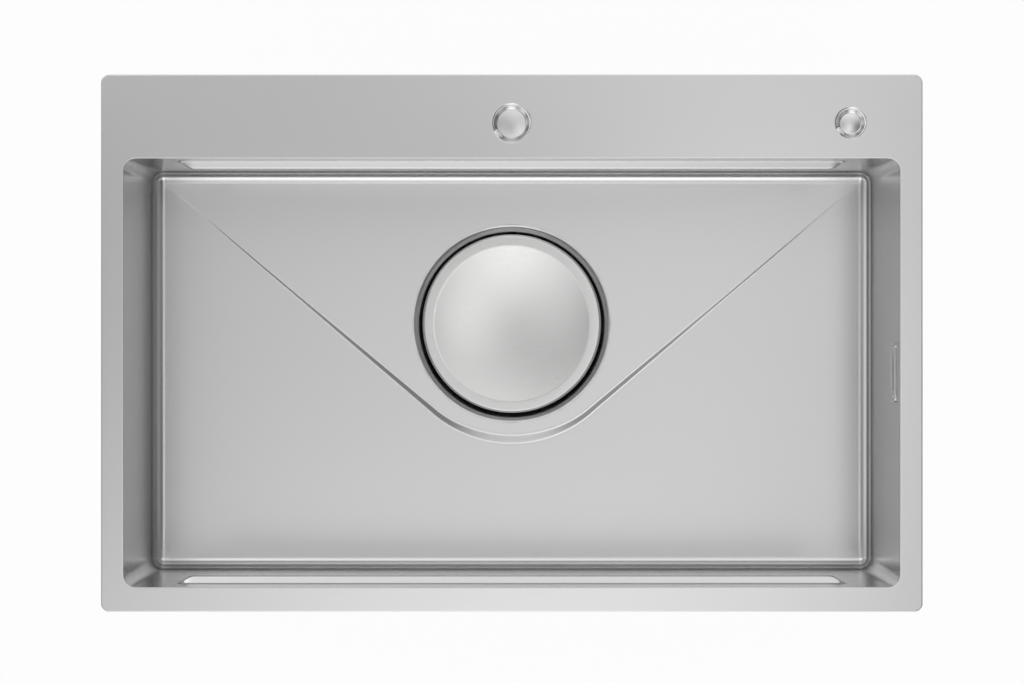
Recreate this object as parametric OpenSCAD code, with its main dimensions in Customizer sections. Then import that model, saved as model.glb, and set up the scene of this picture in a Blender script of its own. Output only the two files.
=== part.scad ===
/* [Deck] */
// Overall width of the rim, left to right
deck_w = 780; // [720:1:860]
// Overall depth of the rim, front to back
deck_d = 510; // [490:1:560]
// Radius of the rim's outer corners
deck_corner_r = 8; // [4:0.5:14]
// Thickness of the pressed steel sheet
sheet_t = 1.2; // [0.8:0.1:1.5]
// Height of the folded edge round the rim
edge_h = 2.6; // [2.2:0.1:2.9]
// Thickness of the foam seal under the rim
seal_t = 1.8; // [1.5:0.1:3]
// Width of the foam seal
seal_w = 9; // [6:0.5:11]
// Distance from the rim's edge to the seal
seal_inset = 2.5; // [2.5:0.1:4]

/* [Deck holes] */
// Radius of the tap hole
tap_r = 17.5; // [15:0.5:19]
// Distance from the rim's back edge to the hole centres
hole_back = 46; // [44:0.5:50]
// Radius of the dispenser hole
dispenser_r = 14; // [11:0.5:17]
// Distance from the rim's right edge to the dispenser hole
dispenser_side = 68; // [50:1:90]
// How far the closing blanks are dished below the sheet
blank_dish = 2.5; // [1:0.1:4]
// Width of the sloping ring of a blank
blank_slope_w = 3.6; // [2:0.1:5]
// Width of the bridge that still holds a blank
bridge_w = 6; // [4:0.5:8]

/* [Bowl] */
// Width of the rim at the left and at the right of the bowl
side_rim = 21.5; // [21:0.5:40]
// Width of the rim in front of the bowl
front_rim = 23.4; // [22.5:0.1:30]
// Width of the tap deck behind the bowl
tap_deck = 79.6; // [74:0.1:90]
// Height from the bowl's floor to the top of the rim
bowl_h = 210; // [180:1:230]
// Radius of the bowl's upright corners
corner_r = 12; // [12:0.5:24]
// Radius between the walls and the floor
floor_r = 12; // [8:0.5:12]

/* [Ledges] */
// Drop from the top of the rim to the ledges
ledge_drop = 38; // [30:1:50]
// How far the ledges stand in from the wall
ledge_w = 7.7; // [5:0.1:10]
// Length of a ledge at the wall
ledge_len = 646; // [560:1:660]
// Length of the run-out at each end of a ledge
ledge_runout = 16; // [10:1:24]
// Height over which the wall slopes back below a ledge
ledge_return = 42; // [30:1:60]
// Upright height of a ledge's nose
ledge_nose = 4; // [3:0.5:6]

/* [Floor fall] */
// Step down of the floor in front of the drain
fall_h = 5; // [3:0.5:7]
// Radius of the step round the drain
fall_r = 123.5; // [118:0.5:130]
// Steepness of the step
fall_angle = 25; // [20:1:45]

/* [Drain well] */
// Distance from the rim's centre line back to the drain
drain_y = 20; // [10:1:30]
// Radius of the drain well
well_r = 98; // [95:0.5:102]
// Depth of the well below the step
well_h = 28; // [26:1:34]
// Radius of the hole in the well's floor
well_hole_r = 44.5; // [44:0.1:47]

/* [Cover] */
// Radius of the cover plate
cover_r = 91; // [86:0.5:93]
// Width of the cover's flat rim
cover_rim_w = 10.5; // [8:0.5:14]
// Depth of the cover's dish
cover_dish = 4; // [2:0.5:6]
// Thickness of the cover plate
cover_t = 1.5; // [1:0.1:2]
// Drop from the bowl's floor to the top of the cover
cover_drop = 3.5; // [2:0.5:5]
// Radius of a cover foot
foot_r = 4; // [3:0.5:5]
// Number of cover feet
foot_n = 3; // [3:1:6]

/* [Strainer] */
// Outer radius of the drain flange
flange_r = 57; // [53:0.5:60]
// Thickness of the drain flange's lip
flange_t = 1.5; // [1:0.1:2.5]
// Radius of the thread below the drain flange
thread_r = 42.5; // [41.5:0.1:43.5]
// Depth of the drain flange's cup below the well's floor
flange_cup_h = 37; // [34:1:40]
// Inner radius of the lower cup
cup_bore_r = 37.5; // [37:0.1:38]
// Radius of the strainer basket
basket_r = 36.5; // [35:0.1:36.5]
// Height of the strainer basket
basket_h = 20; // [16:1:22]
// Thickness of the basket's sheet
basket_t = 1; // [0.8:0.1:1.2]
// Radius of one strainer hole
strain_r = 1.8; // [1.2:0.1:2.2]
// Radius of the opening that the stopper closes
seat_r = 26; // [22:0.5:28]
// Travel of the stopper
stopper_travel = 6.5; // [5:0.1:7]
// Radius of the stopper's post
post_r = 4; // [3:0.1:5]
// Radius of the stopper's knob
knob_r = 10; // [8:0.5:13]

/* [Waste] */
// Wall of the plastic waste parts
plastic_t = 2.5; // [2:0.1:3]
// Inner radius of the waste body
pot_r = 46; // [45:0.5:50]
// Height of the waste body's chamber
pot_h = 44; // [43:1:54]
// Outer radius of the outlet thread
outlet_r = 23.9; // [20:0.1:26]
// Length of the outlet thread
outlet_h = 32; // [24:1:44]
// Thickness of the rubber seals
rubber_t = 3; // [2:0.5:4]
// Thickness of the thin seal under the flange
thin_seal_t = 1; // [0.5:0.1:1.5]

/* [Overflow] */
// Length of the overflow plate
trim_l = 58; // [52:1:66]
// Height of the overflow plate
trim_h = 25; // [22:1:27]
// Drop from the top of the rim to the overflow's centre
overflow_drop = 39.5; // [34:0.5:46]
// Length of the overflow slot
slot_l = 36; // [30:1:38]
// Height of the overflow slot
slot_h = 10; // [7:0.5:12]
// Thickness of the overflow plate
trim_t = 1.5; // [1:0.1:2]
// Radius of an overflow screw's shank
screw_r = 2; // [1.5:0.1:2.2]
// Outer radius of the hose's ribs
hose_r = 12; // [11:0.5:13]
// Inner radius of the hose
hose_bore_r = 8; // [7:0.5:9]
// Distance between two ribs of the hose
rib_pitch = 5; // [4.5:0.5:7]
// Radius of the hose's bend under the bowl
hose_bend_r = 70; // [60:5:90]

/* [Clips] */
// Thickness of the worktop that the clips grip
worktop_t = 38; // [30:1:40]
// Width of a clip strap
strap_w = 20; // [16:1:26]
// Thickness of a clip strap
strap_t = 1.5; // [1.2:0.1:2]
// Distance from the rail's back to the clamp screw
clip_reach = 15; // [14:0.5:17]
// Radius of a clamp screw
clamp_r = 3; // [2.5:0.1:3.5]
// Radius of a clamp screw's pad
clamp_pad_r = 5; // [4:0.5:5]
// Upward travel of a clamp screw
clamp_travel = 22; // [12:1:24]
// Distance between the outer clips of the long sides
clip_span = 520; // [440:10:560]
// Distance from the bowl's back wall forward to the side clips
side_clip_set = 95.4; // [80:0.1:120]

/* [Sound pads] */
// Thickness of a sound pad
pad_t = 2.5; // [1.5:0.1:3]
// Gap between the floor pads and the step round the drain
floor_pad_gap = 12; // [4:1:30]
// Height of the wall pads
wall_pad_h = 85; // [60:1:95]
// Margin between the pads and the bowl's edges
pad_margin = 16; // [13:1:30]

/* [Hidden] */
$fn = 96;

// Small clearances and overlaps
eps = 0.01;
run_gap = 0.1;
loose_gap = 0.3;
big = 2000;

// Heights of the main planes
deck_z = seal_t + sheet_t;
floor_z = deck_z - bowl_h;
well_z = floor_z - fall_h - well_h;
ledge_z = deck_z - ledge_drop;
overflow_z = deck_z - overflow_drop;
cover_z = floor_z - cover_drop;

// How far a blank's bridge reaches under the sheet
bridge_reach = 2.8;

// Bowl in plan, and the places of the deck's holes
bowl_w = deck_w - 2 * side_rim;
bowl_d = deck_d - front_rim - tap_deck;
bowl_front = -deck_d / 2 + front_rim;
bowl_back = bowl_front + bowl_d;
bowl_y = (bowl_front + bowl_back) / 2;
hole_y = deck_d / 2 - hole_back;
dispenser_x = deck_w / 2 - dispenser_side;

// Floor fall: its back corners, and the line of its legs, which just cross the step's circle
fall_margin = 1;
leg_overlap = 0.4;
leg_r = fall_r - leg_overlap;
fall_x = bowl_w / 2 - corner_r - fall_margin;
fall_back = bowl_back - corner_r - fall_margin;
fall_front = drain_y - fall_r;
corner_dist = norm([fall_x, fall_back - drain_y]);
leg_angle = atan((fall_back - drain_y) / fall_x) + asin(leg_r / corner_dist);

// Waste heights
shoulder_z = well_z - 3;
cup_bottom_z = well_z - flange_cup_h;
basket_bottom_z = shoulder_z - basket_h;
pot_top_z = well_z - sheet_t - rubber_t;
pot_flange_t = 6;
pot_bottom_z = pot_top_z - pot_flange_t - pot_h;
funnel_h = 8;
funnel_top_z = pot_bottom_z + funnel_h + plastic_t;
cup_skin_r = cup_bore_r + 2;
outlet_z = pot_bottom_z - outlet_h;
branch_z = funnel_top_z + hose_r + 1;
branch_len = 24;
branch_x = pot_r + plastic_t + branch_len;
stopper_up_z = cup_bottom_z + flange_t + stopper_travel + loose_gap;
plug_h = 3;
neck_h = 14;
stopper_seal_t = 2;
knob_h = 8;
knob_z = cover_z - cover_t - cover_dish - 4 - knob_h;

// Overflow behind the right wall
wall_x = bowl_w / 2;
elbow_x = wall_x + sheet_t + rubber_t - 1;
elbow_l = trim_l + 4;
elbow_rim = 7;
elbow_h = trim_h + 2 * elbow_rim;
elbow_bottom_z = overflow_z - elbow_h / 2 - 2;
elbow_stub = 36;
elbow_lid = 21;
elbow_side_h = 6;
screw_dy = slot_l / 2 + 5;
screw_bite = 8;
nut_wall = 3;
nut_rib = 1;
nut_h = 20;
nut_gap = 0.5;
hose_x = wall_x + sheet_t + nut_gap + nut_rib + nut_wall + loose_gap + hose_r;
elbow_depth = hose_x + hose_r - elbow_x;
rib_depth = 2;

// Clip rail section
rail_v = 7;
rail_top = 16;
rail_drop = 25;
rail_bottom_z = deck_z - rail_drop;
lip_h = 8;
back_rail_set = 21;
back_rail_y = deck_d / 2 - back_rail_set;
strap_drop = 24;
foot_z = -worktop_t - strap_drop;
clamp_nut_h = 6;
clamp_pad_h = 2;
wing_l = 22;
wing_h = 9;

// Clip places: a point on the rail's back and the outward direction
front_clip_y = bowl_front - sheet_t;
side_clip_x = wall_x + sheet_t;
side_clip_y = bowl_back - side_clip_set;
CLIPS = [
    [[-clip_span / 2, front_clip_y], -90], [[0, front_clip_y], -90], [[clip_span / 2, front_clip_y], -90],
    [[-clip_span / 2, back_rail_y], 90], [[0, back_rail_y], 90], [[clip_span / 2, back_rail_y], 90],
    [[-side_clip_x, side_clip_y], 180], [[side_clip_x, side_clip_y], 0]
];

// Rectangle with round corners, centred on the origin
module round_rect(w, d, r) {
    union() {
        square([w - 2 * r, d], center = true);
        square([w, d - 2 * r], center = true);
        for (sx = [-1, 1], sy = [-1, 1])
            translate([sx * (w / 2 - r), sy * (d / 2 - r)]) circle(r);
    }
}

// Upright section of the sheet from the top of a wall to the floor,
// measured inwards from the centre of the corner radius
module wall_section(top_z) {
    outer = corner_r + sheet_t;
    flat = corner_r - floor_r;
    bend_z = floor_z + floor_r;
    translate([corner_r, bend_z]) square([sheet_t, top_z - bend_z]);
    translate([flat, bend_z]) intersection() {
        difference() {
            circle(floor_r + sheet_t);
            circle(floor_r);
        }
        translate([0, -floor_r - sheet_t]) square([outer, floor_r + sheet_t]);
    }
    if (flat > 0)
        translate([0, floor_z - sheet_t]) square([flat, sheet_t]);
}

// Bowl walls and their bends, as a folded sheet
module bowl_walls(top_z) {
    half_w = bowl_w / 2 - corner_r;
    half_d = bowl_d / 2 - corner_r;
    translate([0, bowl_y, 0]) {
        for (side = [0, 1]) {
            rotate([0, 0, side * 180]) translate([half_w, half_d, 0]) rotate([90, 0, 0])
                linear_extrude(2 * half_d) wall_section(top_z);
            rotate([0, 0, side * 180 + 90]) translate([half_d, half_w, 0]) rotate([90, 0, 0])
                linear_extrude(2 * half_w) wall_section(top_z);
        }
        for (turn = [0, 1, 2, 3]) {
            along = (turn % 2 == 0) ? [half_w, half_d] : [half_d, half_w];
            rotate([0, 0, turn * 90]) translate([along[0], along[1], 0])
                rotate_extrude(angle = 90) wall_section(top_z);
        }
    }
}

// Space of the sunken part of the floor, from just above the floor's plane down
module fall_space(rise) {
    ramp_w = fall_h / tan(fall_angle);
    slope = fall_h / (fall_back - fall_front);
    reach = 2 * (fall_back - fall_front);
    intersection() {
        translate([0, fall_back, floor_z]) rotate([90, 0, -90])
            linear_extrude(big, center = true)
                polygon([[0, rise], [reach, rise], [reach, -slope * reach], [0, 0]]);
        union() {
            intersection() {
                translate([0, 0, floor_z - fall_h - 2]) linear_extrude(fall_h + 4) fall_plan();
                above_leg(-1);
                above_leg(1);
            }
            translate([0, drain_y, floor_z]) rotate_extrude()
                polygon([[0, rise], [fall_r, rise], [fall_r, 0], [fall_r - ramp_w, -fall_h], [0, -fall_h]]);
        }
    }
}

// Plan of the fall between its legs, a margin wider than the legs and cut back to the drain's axis
module fall_plan() {
    outward = [sin(leg_angle), -cos(leg_angle)];
    foot = [0, drain_y] + (leg_r + fall_margin) * outward;
    corner = [fall_x, fall_back] + fall_margin * outward;
    polygon([
        [-corner[0], corner[1]], [-fall_x, fall_back], [fall_x, fall_back], corner,
        foot, [0, drain_y], [-foot[0], foot[1]]
    ]);
}

// Half space above the sloping side along one leg of the fall
module above_leg(side) {
    translate([side * fall_x, fall_back, floor_z]) rotate([0, 0, side * leg_angle])
        rotate([-fall_angle, 0, 0]) translate([-big / 2, -big / 2, 0]) cube(big);
}

// Extrudes a section, drawn inwards from a long wall and upwards, along the wall
module along_wall(length) {
    rotate([90, 0, 90]) linear_extrude(length, center = true) children();
}

// Both long walls: the children are drawn from the front wall inwards
module both_long_walls() {
    translate([0, bowl_front, 0]) children();
    translate([0, bowl_back, 0]) mirror([0, 1, 0]) children();
}

// Plan of a ledge with its run-outs, set in by a distance
module ledge_plan(inset) {
    half = ledge_len / 2 - inset;
    polygon([
        [-half, -2 * sheet_t], [half, -2 * sheet_t], [half, -inset],
        [half - ledge_runout, ledge_w - inset + eps], [-half + ledge_runout, ledge_w - inset + eps],
        [-half, -inset]
    ]);
}

// Ledge pressed inwards from a long wall
module ledge_bump() {
    intersection() {
        along_wall(ledge_len) polygon([
            [-sheet_t, ledge_z], [ledge_w, ledge_z], [ledge_w, ledge_z - ledge_nose],
            [0, ledge_z - ledge_return], [-sheet_t, ledge_z - ledge_return]
        ]);
        translate([0, 0, ledge_z - big / 2]) linear_extrude(big) ledge_plan(0);
    }
}

// Hollow behind a ledge, seen from outside the bowl
module ledge_dent() {
    intersection() {
        along_wall(ledge_len) polygon([
            [-2 * sheet_t, ledge_z - sheet_t], [ledge_w - sheet_t, ledge_z - sheet_t],
            [ledge_w - sheet_t, ledge_z - ledge_nose], [-sheet_t, ledge_z - ledge_return],
            [-2 * sheet_t, ledge_z - ledge_return]
        ]);
        translate([0, 0, ledge_z - big / 2]) linear_extrude(big) ledge_plan(sheet_t);
    }
}

// Slot with round ends, centred
module slot_shape(length, height) {
    square([length - height, height], center = true);
    for (side = [-1, 1])
        translate([side * (length - height) / 2, 0]) circle(height / 2);
}

// Extrudes a section, drawn along Y and up, outwards through the right wall from an X place
module through_wall(x, depth) {
    translate([x, bowl_y, overflow_z]) rotate([90, 0, 90]) linear_extrude(depth) children();
}

// Holes for the two overflow screws
module screw_holes(r) {
    for (side = [-1, 1])
        translate([side * screw_dy, 0]) circle(r);
}

module deck_plate() {
    color("silver") {
        difference() {
            translate([0, 0, seal_t]) linear_extrude(sheet_t) difference() {
                round_rect(deck_w, deck_d, deck_corner_r);
                translate([0, bowl_y]) round_rect(bowl_w, bowl_d, corner_r);
            }
            translate([0, hole_y, 0]) cylinder(r = tap_r, h = 2 * deck_z);
            translate([dispenser_x, hole_y, 0]) cylinder(r = dispenser_r, h = 2 * deck_z);
        }
        translate([0, 0, deck_z - edge_h]) linear_extrude(edge_h - sheet_t) difference() {
            round_rect(deck_w, deck_d, deck_corner_r);
            round_rect(deck_w - 2 * sheet_t, deck_d - 2 * sheet_t, deck_corner_r - sheet_t);
        }
    }
}

module bowl_shell() {
    half_w = bowl_w / 2 - corner_r;
    half_d = bowl_d / 2 - corner_r;
    color("lightgray") difference() {
        union() {
            bowl_walls(seal_t);
            translate([-half_w, bowl_y - half_d, floor_z - sheet_t]) cube([2 * half_w, 2 * half_d, sheet_t]);
            translate([0, 0, -sheet_t]) fall_space(sheet_t / 2);
            translate([0, drain_y, well_z - sheet_t])
                cylinder(r = well_r + sheet_t, h = floor_z - well_z + sheet_t / 2);
            both_long_walls() ledge_bump();
        }
        fall_space(1);
        translate([0, drain_y, well_z]) cylinder(r = well_r, h = floor_z - well_z + 1);
        translate([0, drain_y, well_z - 2 * sheet_t]) cylinder(r = well_hole_r, h = 4 * sheet_t);
        both_long_walls() ledge_dent();
        through_wall(wall_x - 1, sheet_t + 2) {
            slot_shape(slot_l + 4, slot_h + 3);
            screw_holes(screw_r + run_gap);
        }
    }
}

// Dished blank that still closes a punched hole, held by one bridge at its front left
module hole_blank(r) {
    rim_r = r - loose_gap;
    flat_r = r - blank_slope_w;
    rim_top = seal_t - run_gap;
    flat_top = rim_top - blank_dish;
    rotate_extrude() polygon([
        [0, flat_top], [flat_r, flat_top], [rim_r, rim_top], [rim_r, rim_top - sheet_t],
        [flat_r, flat_top - sheet_t], [0, flat_top - sheet_t]
    ]);
    rotate([0, 0, 225]) translate([rim_r - 1.5, -bridge_w / 2, rim_top - sheet_t])
        cube([bridge_reach + loose_gap + 1.5, bridge_w, sheet_t]);
}

module tap_hole_blank() {
    color("gainsboro") translate([0, hole_y, 0]) hole_blank(tap_r);
}

module dispenser_hole_blank() {
    color("gainsboro") translate([dispenser_x, hole_y, 0]) hole_blank(dispenser_r);
}

module tap_stiffener() {
    stiff_t = 2;
    stiff_l = 260;
    stiff_w = 2 * (tap_r + 6.8);
    color("darkgray") translate([0, hole_y, seal_t - stiff_t]) linear_extrude(stiff_t) difference() {
        round_rect(stiff_l, stiff_w, 6);
        circle(tap_r + bridge_reach + 0.5);
    }
}

module rim_seal() {
    outer_w = deck_w - 2 * seal_inset;
    outer_d = deck_d - 2 * seal_inset;
    seal_r = deck_corner_r - sheet_t;
    color("dimgray") linear_extrude(seal_t) difference() {
        round_rect(outer_w, outer_d, seal_r);
        square([outer_w - 2 * seal_w, outer_d - 2 * seal_w], center = true);
    }
}

// Rail with an upturned lip, drawn outwards from its back and centred along the wall
module clip_rail(length, top_z) {
    low = rail_bottom_z;
    rotate([90, 0, 0]) linear_extrude(length, center = true) polygon([
        [0, top_z], [sheet_t, top_z], [sheet_t, low + sheet_t], [rail_v - sheet_t, low + sheet_t],
        [rail_v - sheet_t, low + lip_h], [rail_v, low + lip_h], [rail_v, low], [0, low]
    ]);
}

module clip_rail_front() {
    color("darkgray") translate([0, front_clip_y, 0]) rotate([0, 0, -90])
        clip_rail(clip_span + 5 * strap_w, rail_bottom_z + rail_top);
}

module clip_rail_back() {
    color("darkgray") translate([0, back_rail_y, 0]) rotate([0, 0, 90])
        clip_rail(clip_span + 5 * strap_w, seal_t);
}

module clip_rail_left() {
    color("darkgray") translate([-side_clip_x, side_clip_y, 0]) rotate([0, 0, 180])
        clip_rail(6 * strap_w, rail_bottom_z + rail_top);
}

module clip_rail_right() {
    color("darkgray") translate([side_clip_x, side_clip_y, 0])
        clip_rail(6 * strap_w, rail_bottom_z + rail_top);
}

// Puts the children at one clip, with X pointing outwards from the rail's back
module at_clip(clip) {
    translate([clip[0][0], clip[0][1], 0]) rotate([0, 0, clip[1]]) children();
}

// Strap that hooks over a rail's lip and carries the threaded foot
module clip_strap() {
    inner = rail_v - sheet_t - loose_gap;
    outer = rail_v + loose_gap;
    lip_top = rail_bottom_z + lip_h;
    foot_end = clip_reach + clamp_pad_r;
    difference() {
        union() {
            rotate([90, 0, 0]) linear_extrude(strap_w, center = true) polygon([
                [inner - strap_t, rail_bottom_z + 2 * sheet_t], [inner, rail_bottom_z + 2 * sheet_t],
                [inner, lip_top], [outer, lip_top], [outer, foot_z - strap_t], [foot_end, foot_z - strap_t],
                [foot_end, foot_z], [outer + strap_t, foot_z], [outer + strap_t, lip_top + strap_t],
                [inner - strap_t, lip_top + strap_t]
            ]);
            translate([clip_reach, 0, foot_z - strap_t - clamp_nut_h]) cylinder(r = clamp_pad_r, h = clamp_nut_h);
        }
        translate([clip_reach, 0, foot_z - strap_t - clamp_nut_h - 1])
            cylinder(r = clamp_r + run_gap, h = strap_t + clamp_nut_h + 2);
    }
}

module clip_straps() {
    color("lightsteelblue") for (clip = CLIPS)
        at_clip(clip) clip_strap();
}

// Wing screw whose pad presses up against the worktop
module clamp_screw(clip) {
    wing_top = foot_z - strap_t - clamp_nut_h - clamp_travel - 2;
    shank_top = -worktop_t - clamp_pad_h;
    color("silver") at_clip(clip) translate([clip_reach, 0, 0]) {
        translate([0, 0, shank_top]) cylinder(r = clamp_pad_r, h = clamp_pad_h);
        translate([0, 0, wing_top]) cylinder(r = clamp_r, h = shank_top - wing_top);
        translate([0, 0, wing_top - wing_h]) cylinder(r = clamp_r + 1.5, h = wing_h);
        translate([-1, -wing_l / 2, wing_top - wing_h]) cube([2, wing_l, wing_h]);
    }
}

// Flat pad with round corners, in plan
module pad_shape(w, d) {
    round_rect(w, d, 6);
}

// Floor pad in front of the fall, on one side of the middle
module floor_pad(side) {
    pad_w = bowl_w / 2 - 1.5 * pad_margin;
    pad_front = bowl_front + pad_margin;
    pad_d = fall_front - floor_pad_gap - pad_front;
    color("#3c3c3c")
        translate([side * (pad_margin + pad_w) / 2, pad_front + pad_d / 2, floor_z - sheet_t - pad_t])
            linear_extrude(pad_t) pad_shape(pad_w, pad_d);
}

module floor_pad_left() {
    floor_pad(-1);
}

module floor_pad_right() {
    floor_pad(1);
}

// Wall pad, drawn outwards from the outer face of a wall
module wall_pad(length) {
    color("#3c3c3c") translate([0, 0, floor_z + pad_margin + wall_pad_h / 2]) rotate([90, 0, 90])
        linear_extrude(pad_t) pad_shape(length, wall_pad_h);
}

module front_wall_pad() {
    translate([0, front_clip_y, 0]) rotate([0, 0, -90]) wall_pad(bowl_w - 6 * pad_margin);
}

module back_wall_pad() {
    translate([0, bowl_back + sheet_t, 0]) rotate([0, 0, 90]) wall_pad(bowl_w - 6 * pad_margin);
}

module left_wall_pad() {
    translate([-side_clip_x, bowl_y, 0]) rotate([0, 0, 180]) wall_pad(bowl_d - 4 * pad_margin);
}

module right_wall_pad() {
    translate([side_clip_x, bowl_y, 0]) wall_pad(bowl_d - 4 * pad_margin);
}

module cover_plate() {
    dish_r = cover_r - cover_rim_w;
    sphere_r = (dish_r * dish_r + cover_dish * cover_dish) / (2 * cover_dish);
    lip = 4;
    color("whitesmoke") translate([0, drain_y, 0]) rotate_extrude() {
        translate([dish_r, cover_z - cover_t]) square([cover_rim_w, cover_t]);
        translate([cover_r - cover_t, cover_z - lip]) square([cover_t, lip]);
        intersection() {
            translate([0, cover_z - cover_dish + sphere_r]) difference() {
                circle(sphere_r + cover_t, $fn = 1440);
                circle(sphere_r, $fn = 1440);
            }
            translate([0, cover_z - cover_dish - 2 * cover_t])
                square([dish_r + eps, cover_dish + 2 * cover_t]);
        }
    }
}

module cover_feet() {
    foot_h = cover_z - cover_t - well_z - loose_gap;
    color("black") translate([0, drain_y, well_z + loose_gap])
        for (i = [0 : foot_n - 1])
            rotate([0, 0, 90 + i * 360 / foot_n]) translate([cover_r - cover_t - loose_gap - foot_r, 0, 0])
                cylinder(r = foot_r, h = foot_h);
}

module drain_flange() {
    lip_z = well_z + thin_seal_t;
    mouth_r = thread_r - 1.5;
    neck_end = pot_top_z - neck_h;
    color("silver") translate([0, drain_y, 0]) rotate_extrude() polygon([
        [mouth_r, lip_z + flange_t], [flange_r, lip_z + flange_t], [flange_r, lip_z], [thread_r, lip_z],
        [thread_r, neck_end], [cup_skin_r, neck_end], [cup_skin_r, cup_bottom_z], [seat_r, cup_bottom_z],
        [seat_r, cup_bottom_z + flange_t], [cup_bore_r, cup_bottom_z + flange_t],
        [cup_bore_r, shoulder_z], [mouth_r, shoulder_z]
    ]);
}

// Ring with a square section round the drain's axis
module drain_ring(inner, outer, low, high) {
    translate([0, drain_y, low]) difference() {
        cylinder(r = outer, h = high - low);
        translate([0, 0, -1]) cylinder(r = inner, h = high - low + 2);
    }
}

module flange_seal() {
    color("#2a2a2a") drain_ring(well_hole_r, flange_r - 1, well_z, well_z + thin_seal_t);
}

module body_seal() {
    color("#2a2a2a") drain_ring(well_hole_r, flange_r - 1, pot_top_z, well_z - sheet_t);
}

module waste_body() {
    neck_r = thread_r + run_gap;
    outer_r = pot_r + plastic_t;
    branch_root = cup_skin_r + 1;
    color("#f0f0f0") difference() {
        union() {
            translate([0, drain_y, 0]) rotate_extrude() polygon([
                [neck_r, pot_top_z], [flange_r, pot_top_z], [flange_r, pot_top_z - pot_flange_t],
                [outer_r, pot_top_z - pot_flange_t], [outer_r, funnel_top_z], [pot_r, funnel_top_z],
                [pot_r, pot_top_z - neck_h], [neck_r, pot_top_z - neck_h]
            ]);
            translate([branch_root, drain_y, branch_z]) rotate([0, 90, 0])
                cylinder(r = hose_r, h = branch_x - branch_root);
        }
        translate([branch_root - 1, drain_y, branch_z]) rotate([0, 90, 0])
            cylinder(r = hose_bore_r, h = branch_x - branch_root + 2);
    }
}

// Funnel under the waste body, with the threaded outlet
module waste_funnel() {
    outer_r = pot_r + plastic_t;
    outlet_bore = outlet_r - plastic_t - 1;
    color("#f0f0f0") translate([0, drain_y, 0]) rotate_extrude() polygon([
        [pot_r, funnel_top_z], [outer_r, funnel_top_z], [outer_r, pot_bottom_z + funnel_h],
        [outlet_r, pot_bottom_z], [outlet_r, outlet_z], [outlet_bore, outlet_z],
        [outlet_bore, pot_bottom_z + plastic_t]
    ]);
}

module basket_cup() {
    inner = basket_r - basket_t;
    rim_r = thread_r - 1.5 - loose_gap;
    hole_r = post_r + run_gap;
    color("silver") translate([0, drain_y, 0]) difference() {
        rotate_extrude() polygon([
            [basket_r, shoulder_z], [rim_r, shoulder_z], [rim_r, shoulder_z + basket_t],
            [inner, shoulder_z + basket_t], [inner, basket_bottom_z + basket_t],
            [hole_r, basket_bottom_z + basket_t], [hole_r, basket_bottom_z], [basket_r, basket_bottom_z]
        ]);
        for (ring = [1 : 3], i = [0 : 7 * ring])
            rotate([0, 0, i * 360 / (7 * ring + 1)])
                translate([post_r + 8.2 * ring, 0, basket_bottom_z - 1]) cylinder(r = strain_r, h = 3 * basket_t);
        for (row = [0, 1], i = [0 : 17])
            rotate([0, 90, (i + row / 2) * 20])
                translate([-(basket_bottom_z + basket_h * (0.3 + 0.35 * row)), 0, inner - 1])
                    cylinder(r = strain_r, h = 3 * basket_t);
    }
}

module stopper_post() {
    post_low = stopper_up_z + stopper_seal_t + plug_h;
    edge = 2;
    color("silver") translate([0, drain_y, 0]) rotate_extrude() {
        translate([0, post_low]) square([post_r, knob_z - post_low + edge]);
        intersection() {
            union() {
                translate([0, knob_z]) square([knob_r - edge, knob_h]);
                translate([0, knob_z + edge]) square([knob_r, knob_h - 2 * edge]);
                translate([knob_r - edge, knob_z + edge]) circle(edge);
                translate([knob_r - edge, knob_z + knob_h - edge]) circle(edge);
            }
            translate([0, knob_z]) square([knob_r, knob_h]);
        }
    }
}

module stopper_plug() {
    color("silver") translate([0, drain_y, stopper_up_z]) union() {
        translate([0, 0, stopper_seal_t]) cylinder(r = seat_r + 1, h = plug_h);
        cylinder(r = 8, h = stopper_seal_t + 1);
    }
}

module stopper_seal() {
    color("#2a2a2a") drain_ring(8 + eps, seat_r + 3.5, stopper_up_z, stopper_up_z + stopper_seal_t);
}

module overflow_plate() {
    color("silver") through_wall(wall_x - trim_t, trim_t) difference() {
        round_rect(trim_l, trim_h, 5);
        slot_shape(slot_l, slot_h);
        screw_holes(screw_r + run_gap);
    }
}

module overflow_screws() {
    head_r = screw_r + 1.4;
    color("silver") for (side = [-1, 1])
        translate([wall_x - trim_t, bowl_y + side * screw_dy, overflow_z]) rotate([0, 90, 0]) {
            translate([0, 0, -1.2]) cylinder(r = head_r, h = 1.2);
            translate([0, 0, -eps]) cylinder(r = screw_r, h = elbow_x + screw_bite - wall_x + trim_t);
        }
}

module overflow_seal() {
    color("#2a2a2a") through_wall(side_clip_x, elbow_x - side_clip_x) difference() {
        round_rect(elbow_l, trim_h + 8, 6);
        slot_shape(slot_l + 4, slot_h + 3);
        screw_holes(screw_r + run_gap);
    }
}

// Side view of the overflow box, set in by a distance: narrow at its lid and deep at the hose
module elbow_section(inset) {
    polygon([
        [-inset, inset], [elbow_depth - inset, inset], [elbow_depth - inset, elbow_side_h],
        [elbow_lid - inset, elbow_h - inset], [-inset, elbow_h - inset]
    ]);
}

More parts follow.
